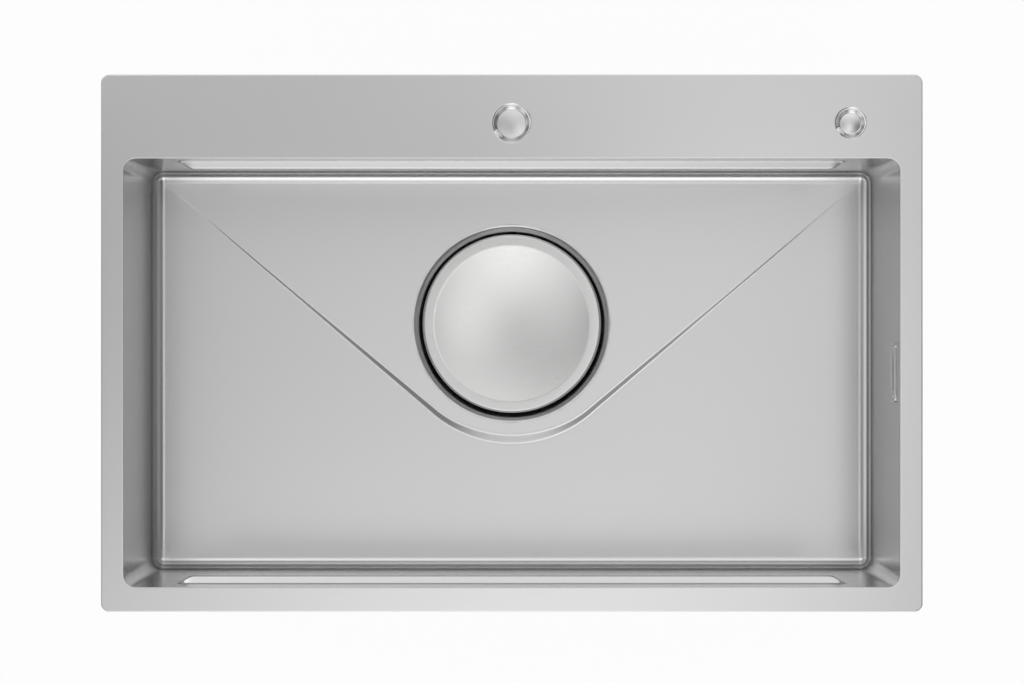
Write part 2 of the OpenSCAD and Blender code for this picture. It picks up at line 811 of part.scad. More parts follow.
module overflow_elbow() {
    color("#f0f0f0") difference() {
        union() {
            translate([elbow_x, bowl_y, elbow_bottom_z]) rotate([90, 0, 0])
                linear_extrude(elbow_l, center = true) elbow_section(0);
            translate([hose_x, bowl_y, elbow_bottom_z - elbow_stub])
                cylinder(r = hose_r - loose_gap, h = elbow_stub + plastic_t / 2);
        }
        difference() {
            translate([elbow_x, bowl_y, elbow_bottom_z]) rotate([90, 0, 0])
                linear_extrude(elbow_l - 2 * plastic_t, center = true) elbow_section(plastic_t);
            for (side = [-1, 1])
                translate([elbow_x - 1, bowl_y + side * screw_dy, overflow_z]) rotate([0, 90, 0])
                    cylinder(r = screw_r + 2, h = elbow_depth);
        }
        for (side = [-1, 1])
            translate([elbow_x - 1, bowl_y + side * screw_dy, overflow_z]) rotate([0, 90, 0])
                cylinder(r = screw_r + run_gap, h = screw_bite + 3);
        translate([hose_x, bowl_y, elbow_bottom_z - elbow_stub - 1]) cylinder(r = hose_bore_r, h = elbow_stub + 8);
    }
}

// Overflow hose: down from the elbow, round one bend and under the bowl to the waste body
hose_top_z = elbow_bottom_z - elbow_stub;
hose_fall = hose_top_z - branch_z - hose_bend_r;
hose_arc = PI * hose_bend_r / 2;
hose_run = hose_x - hose_bend_r - branch_x;
hose_len = hose_fall + hose_arc + hose_run;
cuff_l = 2 * hose_r;
rib_n = floor((hose_len - 2 * cuff_l) / rib_pitch);
sides = 8;

function ease(t) = let (c = max(0, min(1, t))) c * c * (3 - 2 * c);
function bend_deg(s) = max(0, min(90, (s - hose_fall) / hose_bend_r * 180 / PI));
function hose_point(s) = [
    hose_x - hose_bend_r * (1 - cos(bend_deg(s))) - max(0, s - hose_fall - hose_arc),
    bowl_y + (drain_y - bowl_y) * ease((s - hose_fall - hose_arc) / (hose_run - cuff_l)),
    hose_top_z - min(s, hose_fall) - hose_bend_r * sin(bend_deg(s))
];
function unit(v) = v / norm(v);
function hose_dir(s) = unit(hose_point(s + 0.5) - hose_point(s - 0.5));
function hose_ring(s, r) = let (
    p = hose_point(s),
    dir = hose_dir(s),
    n = unit(cross(dir, [0, 1, 0])),
    b = cross(dir, n)
) [for (k = [0 : sides - 1]) p + r * (cos(k * 360 / sides) * n + sin(k * 360 / sides) * b)];

// Stations along the hose as [distance, radius]
outer_stations = concat(
    [[0, hose_r], [cuff_l - 1, hose_r]],
    [for (i = [0 : rib_n - 1], half = [0, 1])
        [cuff_l + (i + half / 2) * rib_pitch, half == 0 ? hose_r - rib_depth : hose_r]],
    [[cuff_l + rib_n * rib_pitch, hose_r - rib_depth], [hose_len - cuff_l + 1, hose_r], [hose_len, hose_r]]
);
bore_n = ceil(rib_n / 2);
bore_stations = [for (i = [0 : bore_n]) [i * hose_len / bore_n, hose_bore_r]];

// Triangles between two rings that start at given point numbers
function band(from, k, outwards) =
    let (a = from + k, b = from + (k + 1) % sides, c = a + sides, d = b + sides)
    outwards ? [[a, c, d], [a, d, b]] : [[a, d, c], [a, b, d]];
function skin(first, rings, outwards) =
    [for (i = [0 : rings - 2], k = [0 : sides - 1]) each band(first + i * sides, k, outwards)];
function end_ring(outer_first, inner_first, forwards) =
    [for (k = [0 : sides - 1])
        let (a = outer_first + k, b = outer_first + (k + 1) % sides,
             c = inner_first + k, d = inner_first + (k + 1) % sides)
        each forwards ? [[a, d, b], [a, c, d]] : [[a, b, d], [a, d, c]]];

module overflow_hose() {
    outer_n = len(outer_stations);
    inner_n = len(bore_stations);
    inner_first = outer_n * sides;
    points = concat(
        [for (st = outer_stations) each hose_ring(st[0], st[1])],
        [for (st = bore_stations) each hose_ring(st[0], st[1])]
    );
    faces = concat(
        skin(0, outer_n, true),
        skin(inner_first, inner_n, false),
        end_ring(0, inner_first, false),
        end_ring((outer_n - 1) * sides, inner_first + (inner_n - 1) * sides, true)
    );
    color("#e4e4e4") polyhedron(points, faces);
}

// Ribbed nut that holds an end of the hose on its stub, along Z and centred
module hose_nut() {
    inner = hose_r + loose_gap;
    difference() {
        union() {
            cylinder(r = inner + nut_wall, h = nut_h, center = true);
            for (i = [0 : 11])
                rotate([0, 0, i * 30]) translate([inner + nut_wall, 0, 0])
                    cylinder(r = nut_rib, h = nut_h, center = true);
        }
        cylinder(r = inner, h = nut_h + 2, center = true);
    }
}

module hose_nuts() {
    color("#f0f0f0") {
        translate([hose_x, bowl_y, hose_top_z]) hose_nut();
        translate([branch_x, drain_y, branch_z]) rotate([0, 90, 0]) hose_nut();
    }
}

deck_plate();
bowl_shell();
tap_hole_blank();
dispenser_hole_blank();
tap_stiffener();
rim_seal();
clip_rail_front();
clip_rail_back();
clip_rail_left();
clip_rail_right();
clip_straps();
for (i = [0 : len(CLIPS) - 1])
    clamp_screw(CLIPS[i]);
floor_pad_left();
floor_pad_right();
front_wall_pad();
back_wall_pad();
left_wall_pad();
right_wall_pad();
cover_plate();
cover_feet();
drain_flange();
flange_seal();
body_seal();
waste_body();
waste_funnel();
basket_cup();
stopper_post();
stopper_plug();
stopper_seal();
overflow_plate();
overflow_screws();
overflow_seal();
overflow_elbow();
overflow_hose();
hose_nuts();
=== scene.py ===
import math
import bmesh
import bpy
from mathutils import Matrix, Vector
from mathutils.geometry import delaunay_2d_cdt


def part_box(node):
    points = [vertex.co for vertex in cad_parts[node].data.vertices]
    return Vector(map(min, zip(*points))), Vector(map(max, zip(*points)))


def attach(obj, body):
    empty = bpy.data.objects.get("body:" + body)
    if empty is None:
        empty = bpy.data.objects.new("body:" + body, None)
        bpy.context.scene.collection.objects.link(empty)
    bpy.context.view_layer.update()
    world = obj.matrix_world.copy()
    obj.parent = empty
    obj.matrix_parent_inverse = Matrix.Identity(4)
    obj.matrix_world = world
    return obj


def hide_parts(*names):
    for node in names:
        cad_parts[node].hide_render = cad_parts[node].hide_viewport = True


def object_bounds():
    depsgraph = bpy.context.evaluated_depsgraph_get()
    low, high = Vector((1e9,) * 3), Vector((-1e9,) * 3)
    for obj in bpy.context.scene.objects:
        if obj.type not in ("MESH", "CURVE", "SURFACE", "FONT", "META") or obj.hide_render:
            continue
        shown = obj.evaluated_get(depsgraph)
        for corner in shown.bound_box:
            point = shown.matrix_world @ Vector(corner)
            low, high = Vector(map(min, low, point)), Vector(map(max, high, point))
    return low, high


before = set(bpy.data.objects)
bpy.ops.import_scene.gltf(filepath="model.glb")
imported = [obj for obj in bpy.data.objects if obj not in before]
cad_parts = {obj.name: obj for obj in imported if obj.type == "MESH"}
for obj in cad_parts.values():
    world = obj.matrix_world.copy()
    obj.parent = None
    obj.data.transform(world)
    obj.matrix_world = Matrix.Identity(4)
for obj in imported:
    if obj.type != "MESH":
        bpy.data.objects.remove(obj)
cad_box = [list(corner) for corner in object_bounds()]

# Lengths below are in millimetres, in the frame of the CAD model
MM = 0.001

# Camera: straight above the middle of the rim
CAMERA_AT = (0.2, 1.6, 2521.0)
LENS_MM = 93.27
SENSOR_MM = 36.0

# Light of the room above and below the horizon
ROOM_LEVEL, UNDER_LEVEL = 0.06, 0.55

# Soft round lights in rings: elevation, inner and outer angle in degrees, then (azimuth, level) of each
LAMP_RINGS = (
    (84.0, 0.5, 7.0, (
        (0.0, 1.10), (180.0, 0.57), (270.0, 0.36),
    )),
    (78.0, 2.0, 14.0, (
        (60.0, 0.74), (120.0, 0.41), (240.0, 0.90), (300.0, 0.90),
    )),
    (62.0, 4.0, 20.0, (
        (45.0, 0.90), (90.0, 1.08), (135.0, 1.60), (225.0, 0.38), (270.0, 0.67),
    )),
    (42.0, 6.0, 26.0, (
        (0.0, 0.25), (180.0, 0.58), (270.0, 1.40),
    )),
    (20.0, 8.0, 30.0, (
        (90.0, 0.92), (180.0, 0.61), (225.0, 1.00), (270.0, 1.25), (315.0, 0.55),
        (0.0, 0.15), (45.0, 0.30), (135.0, 0.50),
    )),
)

# Deck, bowl and floor, as in the CAD model
SHEET = 1.2
DECK_Z = 3.0
UNDER_DECK_Z = DECK_Z - SHEET
DECK_W, DECK_D, DECK_R = 780.0, 510.0, 8.0
SKIRT_Z = 0.4
BOWL_HALF_W, BOWL_FRONT, BOWL_BACK = 368.5, -231.6, 175.4
BOWL_Y = (BOWL_FRONT + BOWL_BACK) / 2
BOWL_HALF_D = (BOWL_BACK - BOWL_FRONT) / 2
CORNER_R = 12.0
FLOOR_Z = -207.0
HOLE_Y = 209.0
TAP_R = 17.5
DISPENSER_X, DISPENSER_R = 322.0, 14.0

# Ledges pressed into the long walls
LEDGE_Z = -35.0
LEDGE_W = 7.7
LEDGE_ROOT_R = 1.4
LEDGE_NOSE_R = 2.0
LEDGE_DROP = 0.6
LEDGE_RETURN = 42.0
LEDGE_FULL_X, LEDGE_END_X = 307.0, 324.0
WALL_HIGH, WALL_LOW = (-4.0, -14.0, -24.0), (-95.0, -130.0, -165.0, -188.0, -193.5)

# Fall of the floor and the drain well
DRAIN_Y = 20.0
FALL_R = 123.5
FALL_H = 3.2
FALL_TILT, FALL_FRONT_TILT, FALL_TURN = 25.0, 19.0, 0.75
FALL_X, FALL_BACK = 355.5, 162.4
FALL_KNEE = 1.5
FADE_LOW, FADE_SIZE = 0.15, 0.34
PLANE_K = FALL_H / (FALL_BACK - DRAIN_Y + FALL_R)
WELL_R = 93.4
MOUTH_R, MOUTH_ROLL, MOUTH_TILT = 101.2, 2.4, 50.0
WELL_Z = -240.0
WELL_FILLET = 5.0
WELL_HOLE_R = 44.5
FLAT_ROW = 0.8

# Cover
COVER_R, COVER_Z, COVER_DISH_R, COVER_DISH, COVER_T = 91.0, -210.5, 80.5, 4.0, 1.5
COVER_LIP, COVER_FLARE = 4.0, 0.9

# Blanks that still close the two holes
BLANK_GAP, BLANK_SLOPE_W, BLANK_RIM_Z, BLANK_DISH = 0.3, 3.6, 1.7, 2.5
BLANK_DOME, BLANK_SHIFT, TAB_HALF_W = 0.5, (-0.2, -0.1), 4.4
BRIDGE_REACH, BRIDGE_ANGLE = 2.8, 219.0

# Overflow in the right wall
OVERFLOW_Z = -36.5
PLATE_L, PLATE_H, PLATE_T, PLATE_R = 58.0, 25.0, 1.5, 5.0
SLOT_L, SLOT_H = 36.0, 10.0
WALL_SLOT_L, WALL_SLOT_H = 40.0, 13.0
SCREW_AT, SCREW_R, SCREW_HEAD_R, SCREW_HEAD_T, SCREW_END_X = 23.0, 2.0, 3.4, 1.2, 379.7

# Overflow hose, from the box behind the wall to the waste body
HOSE_X, HOSE_TOP_Z, HOSE_R, HOSE_BORE, HOSE_BEND = 386.5, -94.0, 12.0, 8.0, 70.0
BRANCH_X, BRANCH_Z = 72.5, -270.7
RIB_PITCH, RIB_DEPTH, CUFF = 5.0, 2.0, 24.0

# Wing screws
SCREW_PAD_R, SCREW_PAD_TOP, SCREW_PAD_LOW = 5.0, -38.0, -40.0
SHANK_R, SHANK_LOW, THREAD_PITCH, THREAD_DEPTH = 3.0, -93.5, 1.5, 0.5
WING_HALF, WING_LOW, WING_T, HUB_R = 11.0, -102.5, 2.0, 4.5


def arc(steps, first=0.0, last=90.0):
    """Angles in radians from first to last degree, both ends included."""
    return [math.radians(first + (last - first) * i / steps) for i in range(steps + 1)]


def ease(t):
    """Smooth step from 0 to 1."""
    t = max(0.0, min(1.0, t))
    return t * t * (3 - 2 * t)


def spread(first, last, steps):
    """Evenly spread values without the last one."""
    return [first + (last - first) * i / steps for i in range(steps)]


class Net:
    """Collects the points and faces of one mesh, in millimetres."""

    def __init__(self):
        self.points = []
        self.faces = []

    def row(self, points):
        start = len(self.points)
        self.points.extend(points)
        return range(start, len(self.points))

    def bridge(self, a, b, closed=True):
        count = len(a)
        for i in range(count if closed else count - 1):
            j = (i + 1) % count
            self.faces.append((a[i], a[j], b[j], b[i]))

    def skin(self, rows, closed=True):
        made = [self.row(points) for points in rows]
        for a, b in zip(made, made[1:]):
            self.bridge(a, b, closed)
        return made

    def fill(self, loops, keep, height, flip=False):
        """Triangles between loops of (x, y), where keep(x, y) is true, at height(x, y)."""
        points = []
        edges = []
        for loop in loops:
            start = len(points)
            points.extend(Vector(p[:2]) for p in loop)
            edges.extend((start + i, start + (i + 1) % len(loop)) for i in range(len(loop)))
        flat, _, faces, _, _, _ = delaunay_2d_cdt(points, edges, [], 0, 1e-5)
        start = len(self.points)
        self.points.extend((p.x, p.y, height(p.x, p.y)) for p in flat)
        for face in faces:
            x = sum(flat[i].x for i in face) / len(face)
            y = sum(flat[i].y for i in face) / len(face)
            if keep(x, y):
                order = reversed(face) if flip else face
                self.faces.append(tuple(start + i for i in order))

    def mesh(self, name, up_at=None):
        mesh = bpy.data.meshes.new(name)
        mesh.from_pydata([Vector(p) * MM for p in self.points], [], self.faces)
        form = bmesh.new()
        form.from_mesh(mesh)
        bmesh.ops.remove_doubles(form, verts=form.verts, dist=2e-6)
        bmesh.ops.dissolve_degenerate(form, edges=form.edges, dist=1e-6)
        loose = [v for v in form.verts if not v.link_faces]
        bmesh.ops.delete(form, geom=loose, context="VERTS")
        bmesh.ops.recalc_face_normals(form, faces=form.faces)
        if up_at is not None:
            place = Vector(up_at) * MM
            near = min(form.faces, key=lambda f: (f.calc_center_median() - place).length)
            if near.normal.z < 0:
                bmesh.ops.reverse_faces(form, faces=form.faces)
        form.to_mesh(mesh)
        form.free()
        return mesh


def inside(polygon, x, y):
    """Whether a point lies in a polygon of (x, y)."""
    found = False
    for (ax, ay), (bx, by) in zip(polygon, polygon[1:] + polygon[:1]):
        if (ay > y) != (by > y) and x < (bx - ax) * (y - ay) / (by - ay) + ax:
            found = not found
    return found


def put(name, mesh, body="sink", sharp=40.0):
    """Links a mesh as a smooth piece whose edges above an angle stay sharp."""
    obj = bpy.data.objects.new(name, mesh)
    bpy.context.scene.collection.objects.link(obj)
    mesh.shade_smooth()
    mesh.set_sharp_from_angle(angle=math.radians(sharp))
    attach(obj, body)
    return obj


def bake(obj, sharp=40.0):
    """Turns the object's modifiers into plain mesh."""
    bpy.context.view_layer.update()
    done = obj.evaluated_get(bpy.context.evaluated_depsgraph_get())
    mesh = bpy.data.meshes.new_from_object(done)
    obj.modifiers.clear()
    obj.data = mesh
    mesh.shade_smooth()
    mesh.set_sharp_from_angle(angle=math.radians(sharp))


def finish_piece(obj, material, slot, *nodes):
    obj.data.materials.clear()
    obj.data.materials.append(material)
    if nodes:
        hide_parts(*nodes)
    return obj


class Graph:
    """A short way to add nodes to a node tree."""

    def __init__(self, tree):
        self.tree = tree
        tree.nodes.clear()

    def add(self, kind, inputs=None, **settings):
        node = self.tree.nodes.new("ShaderNode" + kind)
        for name, value in settings.items():
            setattr(node, name, value)
        for key, value in (inputs or {}).items():
            if isinstance(value, bpy.types.NodeSocket):
                self.tree.links.new(value, node.inputs[key])
            else:
                node.inputs[key].default_value = value
        return node

    def math(self, operation, a, b=0.0, clamp=False):
        return self.add("Math", {0: a, 1: b}, operation=operation, use_clamp=clamp).outputs[0]

    def steps(self, value, low, high, to_low=0.0, to_high=1.0, smooth=True):
        shape = "SMOOTHSTEP" if smooth else "LINEAR"
        inputs = {"Value": value, "From Min": low, "From Max": high}
        inputs.update({"To Min": to_low, "To Max": to_high})
        return self.add("MapRange", inputs, interpolation_type=shape).outputs["Result"]

    def noise(self, scale, detail=2.0, roughness=0.5, size=1.0):
        coords = self.add("TexCoord").outputs["Object"]
        mapped = self.add("Mapping", {"Vector": coords, "Scale": scale}).outputs[0]
        inputs = {"Vector": mapped, "Scale": size, "Detail": detail, "Roughness": roughness}
        return self.add("TexNoise", inputs).outputs[0]

    def between(self, factor, a, b):
        """Colour between a and b."""
        mix = self.add("Mix", {"Factor": factor}, data_type="RGBA")
        for socket, colour in ((mix.inputs[6], a), (mix.inputs[7], b)):
            socket.default_value = (*colour, 1.0)
        return mix.outputs[2]


def new_material(name):
    material = bpy.data.materials.new(name)
    material.use_nodes = True
    return material, Graph(material.node_tree)


def shade(graph, base, roughness, normal=None, **settings):
    inputs = {"Base Color": base, "Roughness": roughness}
    if normal is not None:
        inputs["Normal"] = normal
    for key, value in settings.items():
        inputs[key.replace("_", " ")] = value
    surface = graph.add("BsdfPrincipled", inputs)
    graph.add("OutputMaterial", {"Surface": surface.outputs[0]})


def scaled(colour, factor):
    return tuple(min(1.0, c * factor) for c in colour)


def steel(name, tone, rough, grain, depth, contrast=0.012, wave=0.0, cloud=0.012, uneven=0.03):
    """Rolled or brushed sheet: fine streaks, cloudy tone, and a slight waviness of the sheet."""
    material, graph = new_material(name)
    streaks = graph.noise(grain, detail=3.0, roughness=0.65)
    clouds = graph.noise((5.0, 6.0, 6.0), detail=3.0)
    share = cloud / (cloud + contrast)
    fine, broad = graph.math("MULTIPLY", streaks, 1 - share), graph.math("MULTIPLY", clouds, share)
    blend = graph.math("ADD", fine, broad)
    spread_out = graph.steps(blend, 0.3, 0.7, smooth=False)
    span = contrast + cloud
    base = graph.between(spread_out, scaled(tone, 1 - span), scaled(tone, 1 + span))
    roughness = graph.steps(streaks, 0.3, 0.7, rough - uneven, rough + uneven, smooth=False)
    bump = graph.add("Bump", {"Height": streaks, "Strength": 1.0, "Distance": depth}).outputs[0]
    if wave > 0:
        swell = graph.noise((7.0, 8.0, 7.0), detail=1.0)
        inputs = {"Height": swell, "Strength": 1.0, "Distance": wave, "Normal": bump}
        bump = graph.add("Bump", inputs).outputs[0]
    shade(graph, base, roughness, bump, Metallic=1.0)
    return material


def moulded(name, low, high, rough, size, depth, specular=0.5):
    """Moulded plastic or rubber with a fine grain."""
    material, graph = new_material(name)
    grain = graph.noise((1.0, 1.0, 1.0), detail=3.0, roughness=0.6, size=size)
    clouds = graph.noise((1.0, 1.0, 1.0), detail=2.0, size=28.0)
    mixed = graph.math("ADD", graph.math("MULTIPLY", grain, 0.5), graph.math("MULTIPLY", clouds, 0.5))
    base = graph.between(graph.steps(mixed, 0.35, 0.65, smooth=False), low, high)
    roughness = graph.steps(grain, 0.3, 0.7, rough - 0.06, rough + 0.06, smooth=False)
    bump = graph.add("Bump", {"Height": grain, "Strength": 1.0, "Distance": depth}).outputs[0]
    shade(graph, base, roughness, bump, **{"Specular_IOR_Level": specular})
    return material


def cellular(name, low, high, size, depth):
    """Foam or damping mat with open cells; painted shade darkens the cell hollows."""
    material, graph = new_material(name)
    coords = graph.add("TexCoord").outputs["Object"]
    cells = graph.add("TexVoronoi", {"Vector": coords, "Scale": size}).outputs["Distance"]
    grain = graph.noise((1.0, 1.0, 1.0), detail=3.0, size=size * 1.7)
    heights_and_hollow_shade = graph.math("ADD", cells, graph.math("MULTIPLY", grain, 0.6))
    # Colour is darker down in the cell hollows, where the bump is low: painted shade, with random grain
    # tone mixed in.
    base = graph.between(graph.steps(heights_and_hollow_shade, 0.35, 1.1, smooth=False), low, high)
    roughness = graph.steps(grain, 0.3, 0.7, 0.78, 0.95, smooth=False)
    bump = graph.add("Bump", {"Height": heights_and_hollow_shade, "Strength": 1.0, "Distance": depth}).outputs[0]
    shade(graph, base, roughness, bump, **{"Specular_IOR_Level": 0.3})
    return material


STEEL = (0.66, 0.66, 0.66)
POLISHED = (0.70, 0.695, 0.69)
SATIN = (0.69, 0.69, 0.685)
ZINC = (0.60, 0.61, 0.62)
deck_steel = steel(
    "deck_brushed_steel", STEEL, rough=0.20, grain=(60.0, 2400.0, 2400.0), depth=0.0000002,
    contrast=0.004, cloud=0.008, uneven=0.01,
)
bowl_steel = steel(
    "bowl_satin_steel", STEEL, rough=0.26, grain=(240.0, 1800.0, 1800.0), depth=0.0000002,
    contrast=0.004, wave=0.00003, cloud=0.006, uneven=0.006,
)
blank_steel = steel(
    "punched_blank_steel", STEEL, rough=0.18, grain=(200.0, 1600.0, 1600.0), depth=0.000001,
    contrast=0.008,
)
cover_steel = steel(
    "cover_satin_steel", SATIN, rough=0.20, grain=(120.0, 1600.0, 1600.0), depth=0.000001,
    contrast=0.008,
)
fitting_steel = steel(
    "polished_fitting_steel", POLISHED, rough=0.14, grain=(900.0, 900.0, 300.0), depth=0.000003,
)
zinc_steel = steel(
    "zinc_plated_steel", ZINC, rough=0.33, grain=(500.0, 500.0, 500.0), depth=0.00002,
    contrast=0.03, cloud=0.06,
)
seal_rubber = moulded(
    "seal_rubber", (0.018, 0.018, 0.019), (0.035, 0.035, 0.037), rough=0.55, size=1400.0,
    depth=0.00005, specular=0.35,
)
damping_rubber = cellular(
    "damping_mat", (0.022, 0.023, 0.025), (0.050, 0.052, 0.056), size=420.0, depth=0.0004,
)
rim_foam = cellular("rim_foam", (0.10, 0.10, 0.105), (0.19, 0.19, 0.20), 900.0, 0.0003)
waste_plastic = moulded("waste_plastic", (0.70, 0.70, 0.68), (0.78, 0.78, 0.76), 0.38, 900.0, 0.00006)
hose_plastic = moulded("hose_plastic", (0.60, 0.60, 0.585), (0.70, 0.70, 0.685), 0.42, 700.0, 0.00006)


def rounded_loop(width, depth, radius, centre_y, grow, z, side_steps=8, corner_steps=12):
    """Rounded rectangle grown outwards by a distance, as points at height z."""
    radius = radius + grow
    half_w = width / 2 + grow - radius
    half_d = depth / 2 + grow - radius
    corners = [
        (half_w, -half_d, -90),
        (half_w, half_d, 0),
        (-half_w, half_d, 90),
        (-half_w, -half_d, 180),
    ]
    points = []
    for number, (x, y, start) in enumerate(corners):
        for angle in arc(corner_steps, start, start + 90):
            points.append((x + radius * math.cos(angle), y + radius * math.sin(angle) + centre_y, z))
        ax, ay, _ = points[-1]
        nx, ny, nstart = corners[(number + 1) % 4]
        bx = nx + radius * math.cos(math.radians(nstart))
        by = ny + radius * math.sin(math.radians(nstart)) + centre_y
        for i in range(1, side_steps):
            share = i / side_steps
            points.append((ax + (bx - ax) * share, ay + (by - ay) * share, z))
    return points


def circle(x, y, radius, z, steps=72):
    turns = [2 * math.pi * i / steps for i in range(steps)]
    return [(x + radius * math.cos(turn), y + radius * math.sin(turn), z) for turn in turns]


def make_deck():
    """Rim and tap deck: rolled bowl edge, rolled holes, folded outer edge, underside."""
    net = Net()
    top_roll, hole_roll, outer_roll = 0.5, 0.3, 0.6
    slope_w, slope_h = 0.9, 0.68
    roll_drop, lip_gap, lip_drop = 0.06, 0.1, 0.15
    fold = 0.2
    hole_steps = 120

    def opening(grow, z):
        return rounded_loop(2 * BOWL_HALF_W, 2 * BOWL_HALF_D, CORNER_R, BOWL_Y, grow, z)

    def outline(grow, z):
        return rounded_loop(DECK_W, DECK_D, DECK_R, 0.0, grow, z)

    roll = arc(6)
    rows = [opening(0, UNDER_DECK_Z)]
    rows += [opening(top_roll * (1 - math.cos(a)), DECK_Z - top_roll * (1 - math.sin(a))) for a in roll]
    rows.append(opening(top_roll + FLAT_ROW, DECK_Z))
    net.skin(rows)
    rows = [outline(-outer_roll - FLAT_ROW, DECK_Z)]
    for a in roll:
        rows.append(outline(outer_roll * (math.sin(a) - 1), DECK_Z - outer_roll * (1 - math.cos(a))))
    rows.append(outline(0, SKIRT_Z + fold))
    rows.append(outline(-fold, SKIRT_Z))
    rows.append(outline(-SHEET + fold, SKIRT_Z))
    rows.append(outline(-SHEET, SKIRT_Z + fold))
    rows.append(outline(-SHEET, UNDER_DECK_Z))
    net.skin(rows)
    top_loops = [opening(top_roll + FLAT_ROW, 0), outline(-outer_roll - FLAT_ROW, 0)]
    low_loops = [opening(0, 0), outline(-SHEET, 0)]
    holes = ((0.0, TAP_R), (DISPENSER_X, DISPENSER_R))
    for x, r in holes:
        profile = (
            (r + slope_w + hole_roll + FLAT_ROW, DECK_Z),
            (r + slope_w + hole_roll, DECK_Z),
            (r + slope_w, DECK_Z - roll_drop),
            (r + lip_gap, DECK_Z - slope_h),
            (r, DECK_Z - slope_h - lip_drop),
            (r, UNDER_DECK_Z),
        )
        rows = [circle(x, HOLE_Y, radius, z, hole_steps) for radius, z in profile]
        net.skin(rows)
        top_loops.append(rows[0])
        low_loops.append(rows[-1])
    for loops, z in ((top_loops, DECK_Z), (low_loops, UNDER_DECK_Z)):
        flat = [[p[:2] for p in loop] for loop in loops]
        closed = [flat[0]] + flat[2:]
        net.fill(
            loops,
            lambda x, y: inside(flat[1], x, y) and not any(inside(f, x, y) for f in closed),
            lambda x, y: z,
        )
    return net.mesh("deck", up_at=(0, 250, DECK_Z))


def ledge_rows():
    """Rows of a long wall as (inset where the ledge is full, height)."""
    rows = [(0.0, z) for z in (UNDER_DECK_Z, *WALL_HIGH)]
    root_z = LEDGE_Z + LEDGE_DROP / 2
    nose_z = LEDGE_Z - LEDGE_DROP / 2
    for a in arc(6, 0, 86):
        rows.append((LEDGE_ROOT_R * (1 - math.cos(a)), root_z + LEDGE_ROOT_R * (1 - math.sin(a))))
    nose_at = LEDGE_W - LEDGE_NOSE_R
    for a in arc(7, 4, 90):
        rows.append((nose_at + LEDGE_NOSE_R * math.sin(a), nose_z - LEDGE_NOSE_R * (1 - math.cos(a))))
    nose_end = nose_z - LEDGE_NOSE_R - 1.5
    steps = 10
    for i in range(steps + 1):
        share = i / steps
        rows.append((LEDGE_W * (1 - ease(share)), nose_end + (LEDGE_Z - LEDGE_RETURN - nose_end) * share))
    return rows + [(0.0, z) for z in WALL_LOW]


def ledge_share(x):
    return 1 - ease((abs(x) - LEDGE_FULL_X) / (LEDGE_END_X - LEDGE_FULL_X))


def wall_stations():
    """Places round the bowl as (anchor x, anchor y, outward x, outward y, share of the ledge)."""
    in_x = BOWL_HALF_W - CORNER_R
    front = BOWL_FRONT + CORNER_R
    back = BOWL_BACK - CORNER_R
    outer_x, inner_x, plain_x = 336, 292, 250
    dense = spread(in_x, outer_x, 3) + spread(outer_x, inner_x, 26) + spread(inner_x, plain_x, 4)
    long_wall = dense + spread(plain_x, -plain_x, 20) + [-x for x in reversed(dense)]
    if -in_x in long_wall:
        long_wall.remove(-in_x)
    stations = []
    for y in spread(front, back, 24):
        stations.append((in_x, y, 1.0, 0.0, 0.0))
    for a in arc(12)[:-1]:
        stations.append((in_x, back, math.cos(a), math.sin(a), 0.0))
    for x in long_wall:
        stations.append((x, back, 0.0, 1.0, ledge_share(x)))
    for a in arc(12, 90, 180)[:-1]:
        stations.append((-in_x, back, math.cos(a), math.sin(a), 0.0))
    for y in spread(back, front, 24):
        stations.append((-in_x, y, -1.0, 0.0, 0.0))
    for a in arc(12, 180, 270)[:-1]:
        stations.append((-in_x, front, math.cos(a), math.sin(a), 0.0))
    for x in reversed(long_wall):
        stations.append((x, front, 0.0, -1.0, ledge_share(x)))
    for a in arc(12, 270, 360)[:-1]:
        stations.append((in_x, front, math.cos(a), math.sin(a), 0.0))
    return stations


def fall_plane(y):
    return FLOOR_Z - PLANE_K * (FALL_BACK - y)


def fall_path():
    """Points of the crease from the left apex to the right one, with the normal towards the drain."""
    apex = Vector((FALL_X, FALL_BACK))
    centre = Vector((0.0, DRAIN_Y))
    reach = apex - centre
    lean = math.atan2(reach.y, reach.x) + math.asin(FALL_R / reach.length)
    outward = Vector((math.sin(lean), -math.cos(lean)))
    touch = centre + FALL_R * outward
    leg_steps, arc_steps = 36, 44
    path = []
    for i in range(leg_steps):
        at = apex.lerp(touch, i / leg_steps)
        path.append((Vector((-at.x, at.y)), Vector((outward.x, -outward.y))))
    first = math.atan2(outward.y, -outward.x)
    last = math.atan2(outward.y, outward.x)
    if first > 0:
        first -= 2 * math.pi
    for i in range(arc_steps + 1):
        angle = first + (last - first) * i / arc_steps
        away = Vector((math.cos(angle), math.sin(angle)))
        path.append((centre + FALL_R * away, -away))
    for i in range(leg_steps - 1, -1, -1):
        at = apex.lerp(touch, i / leg_steps)
        path.append((at, -outward))
    return path


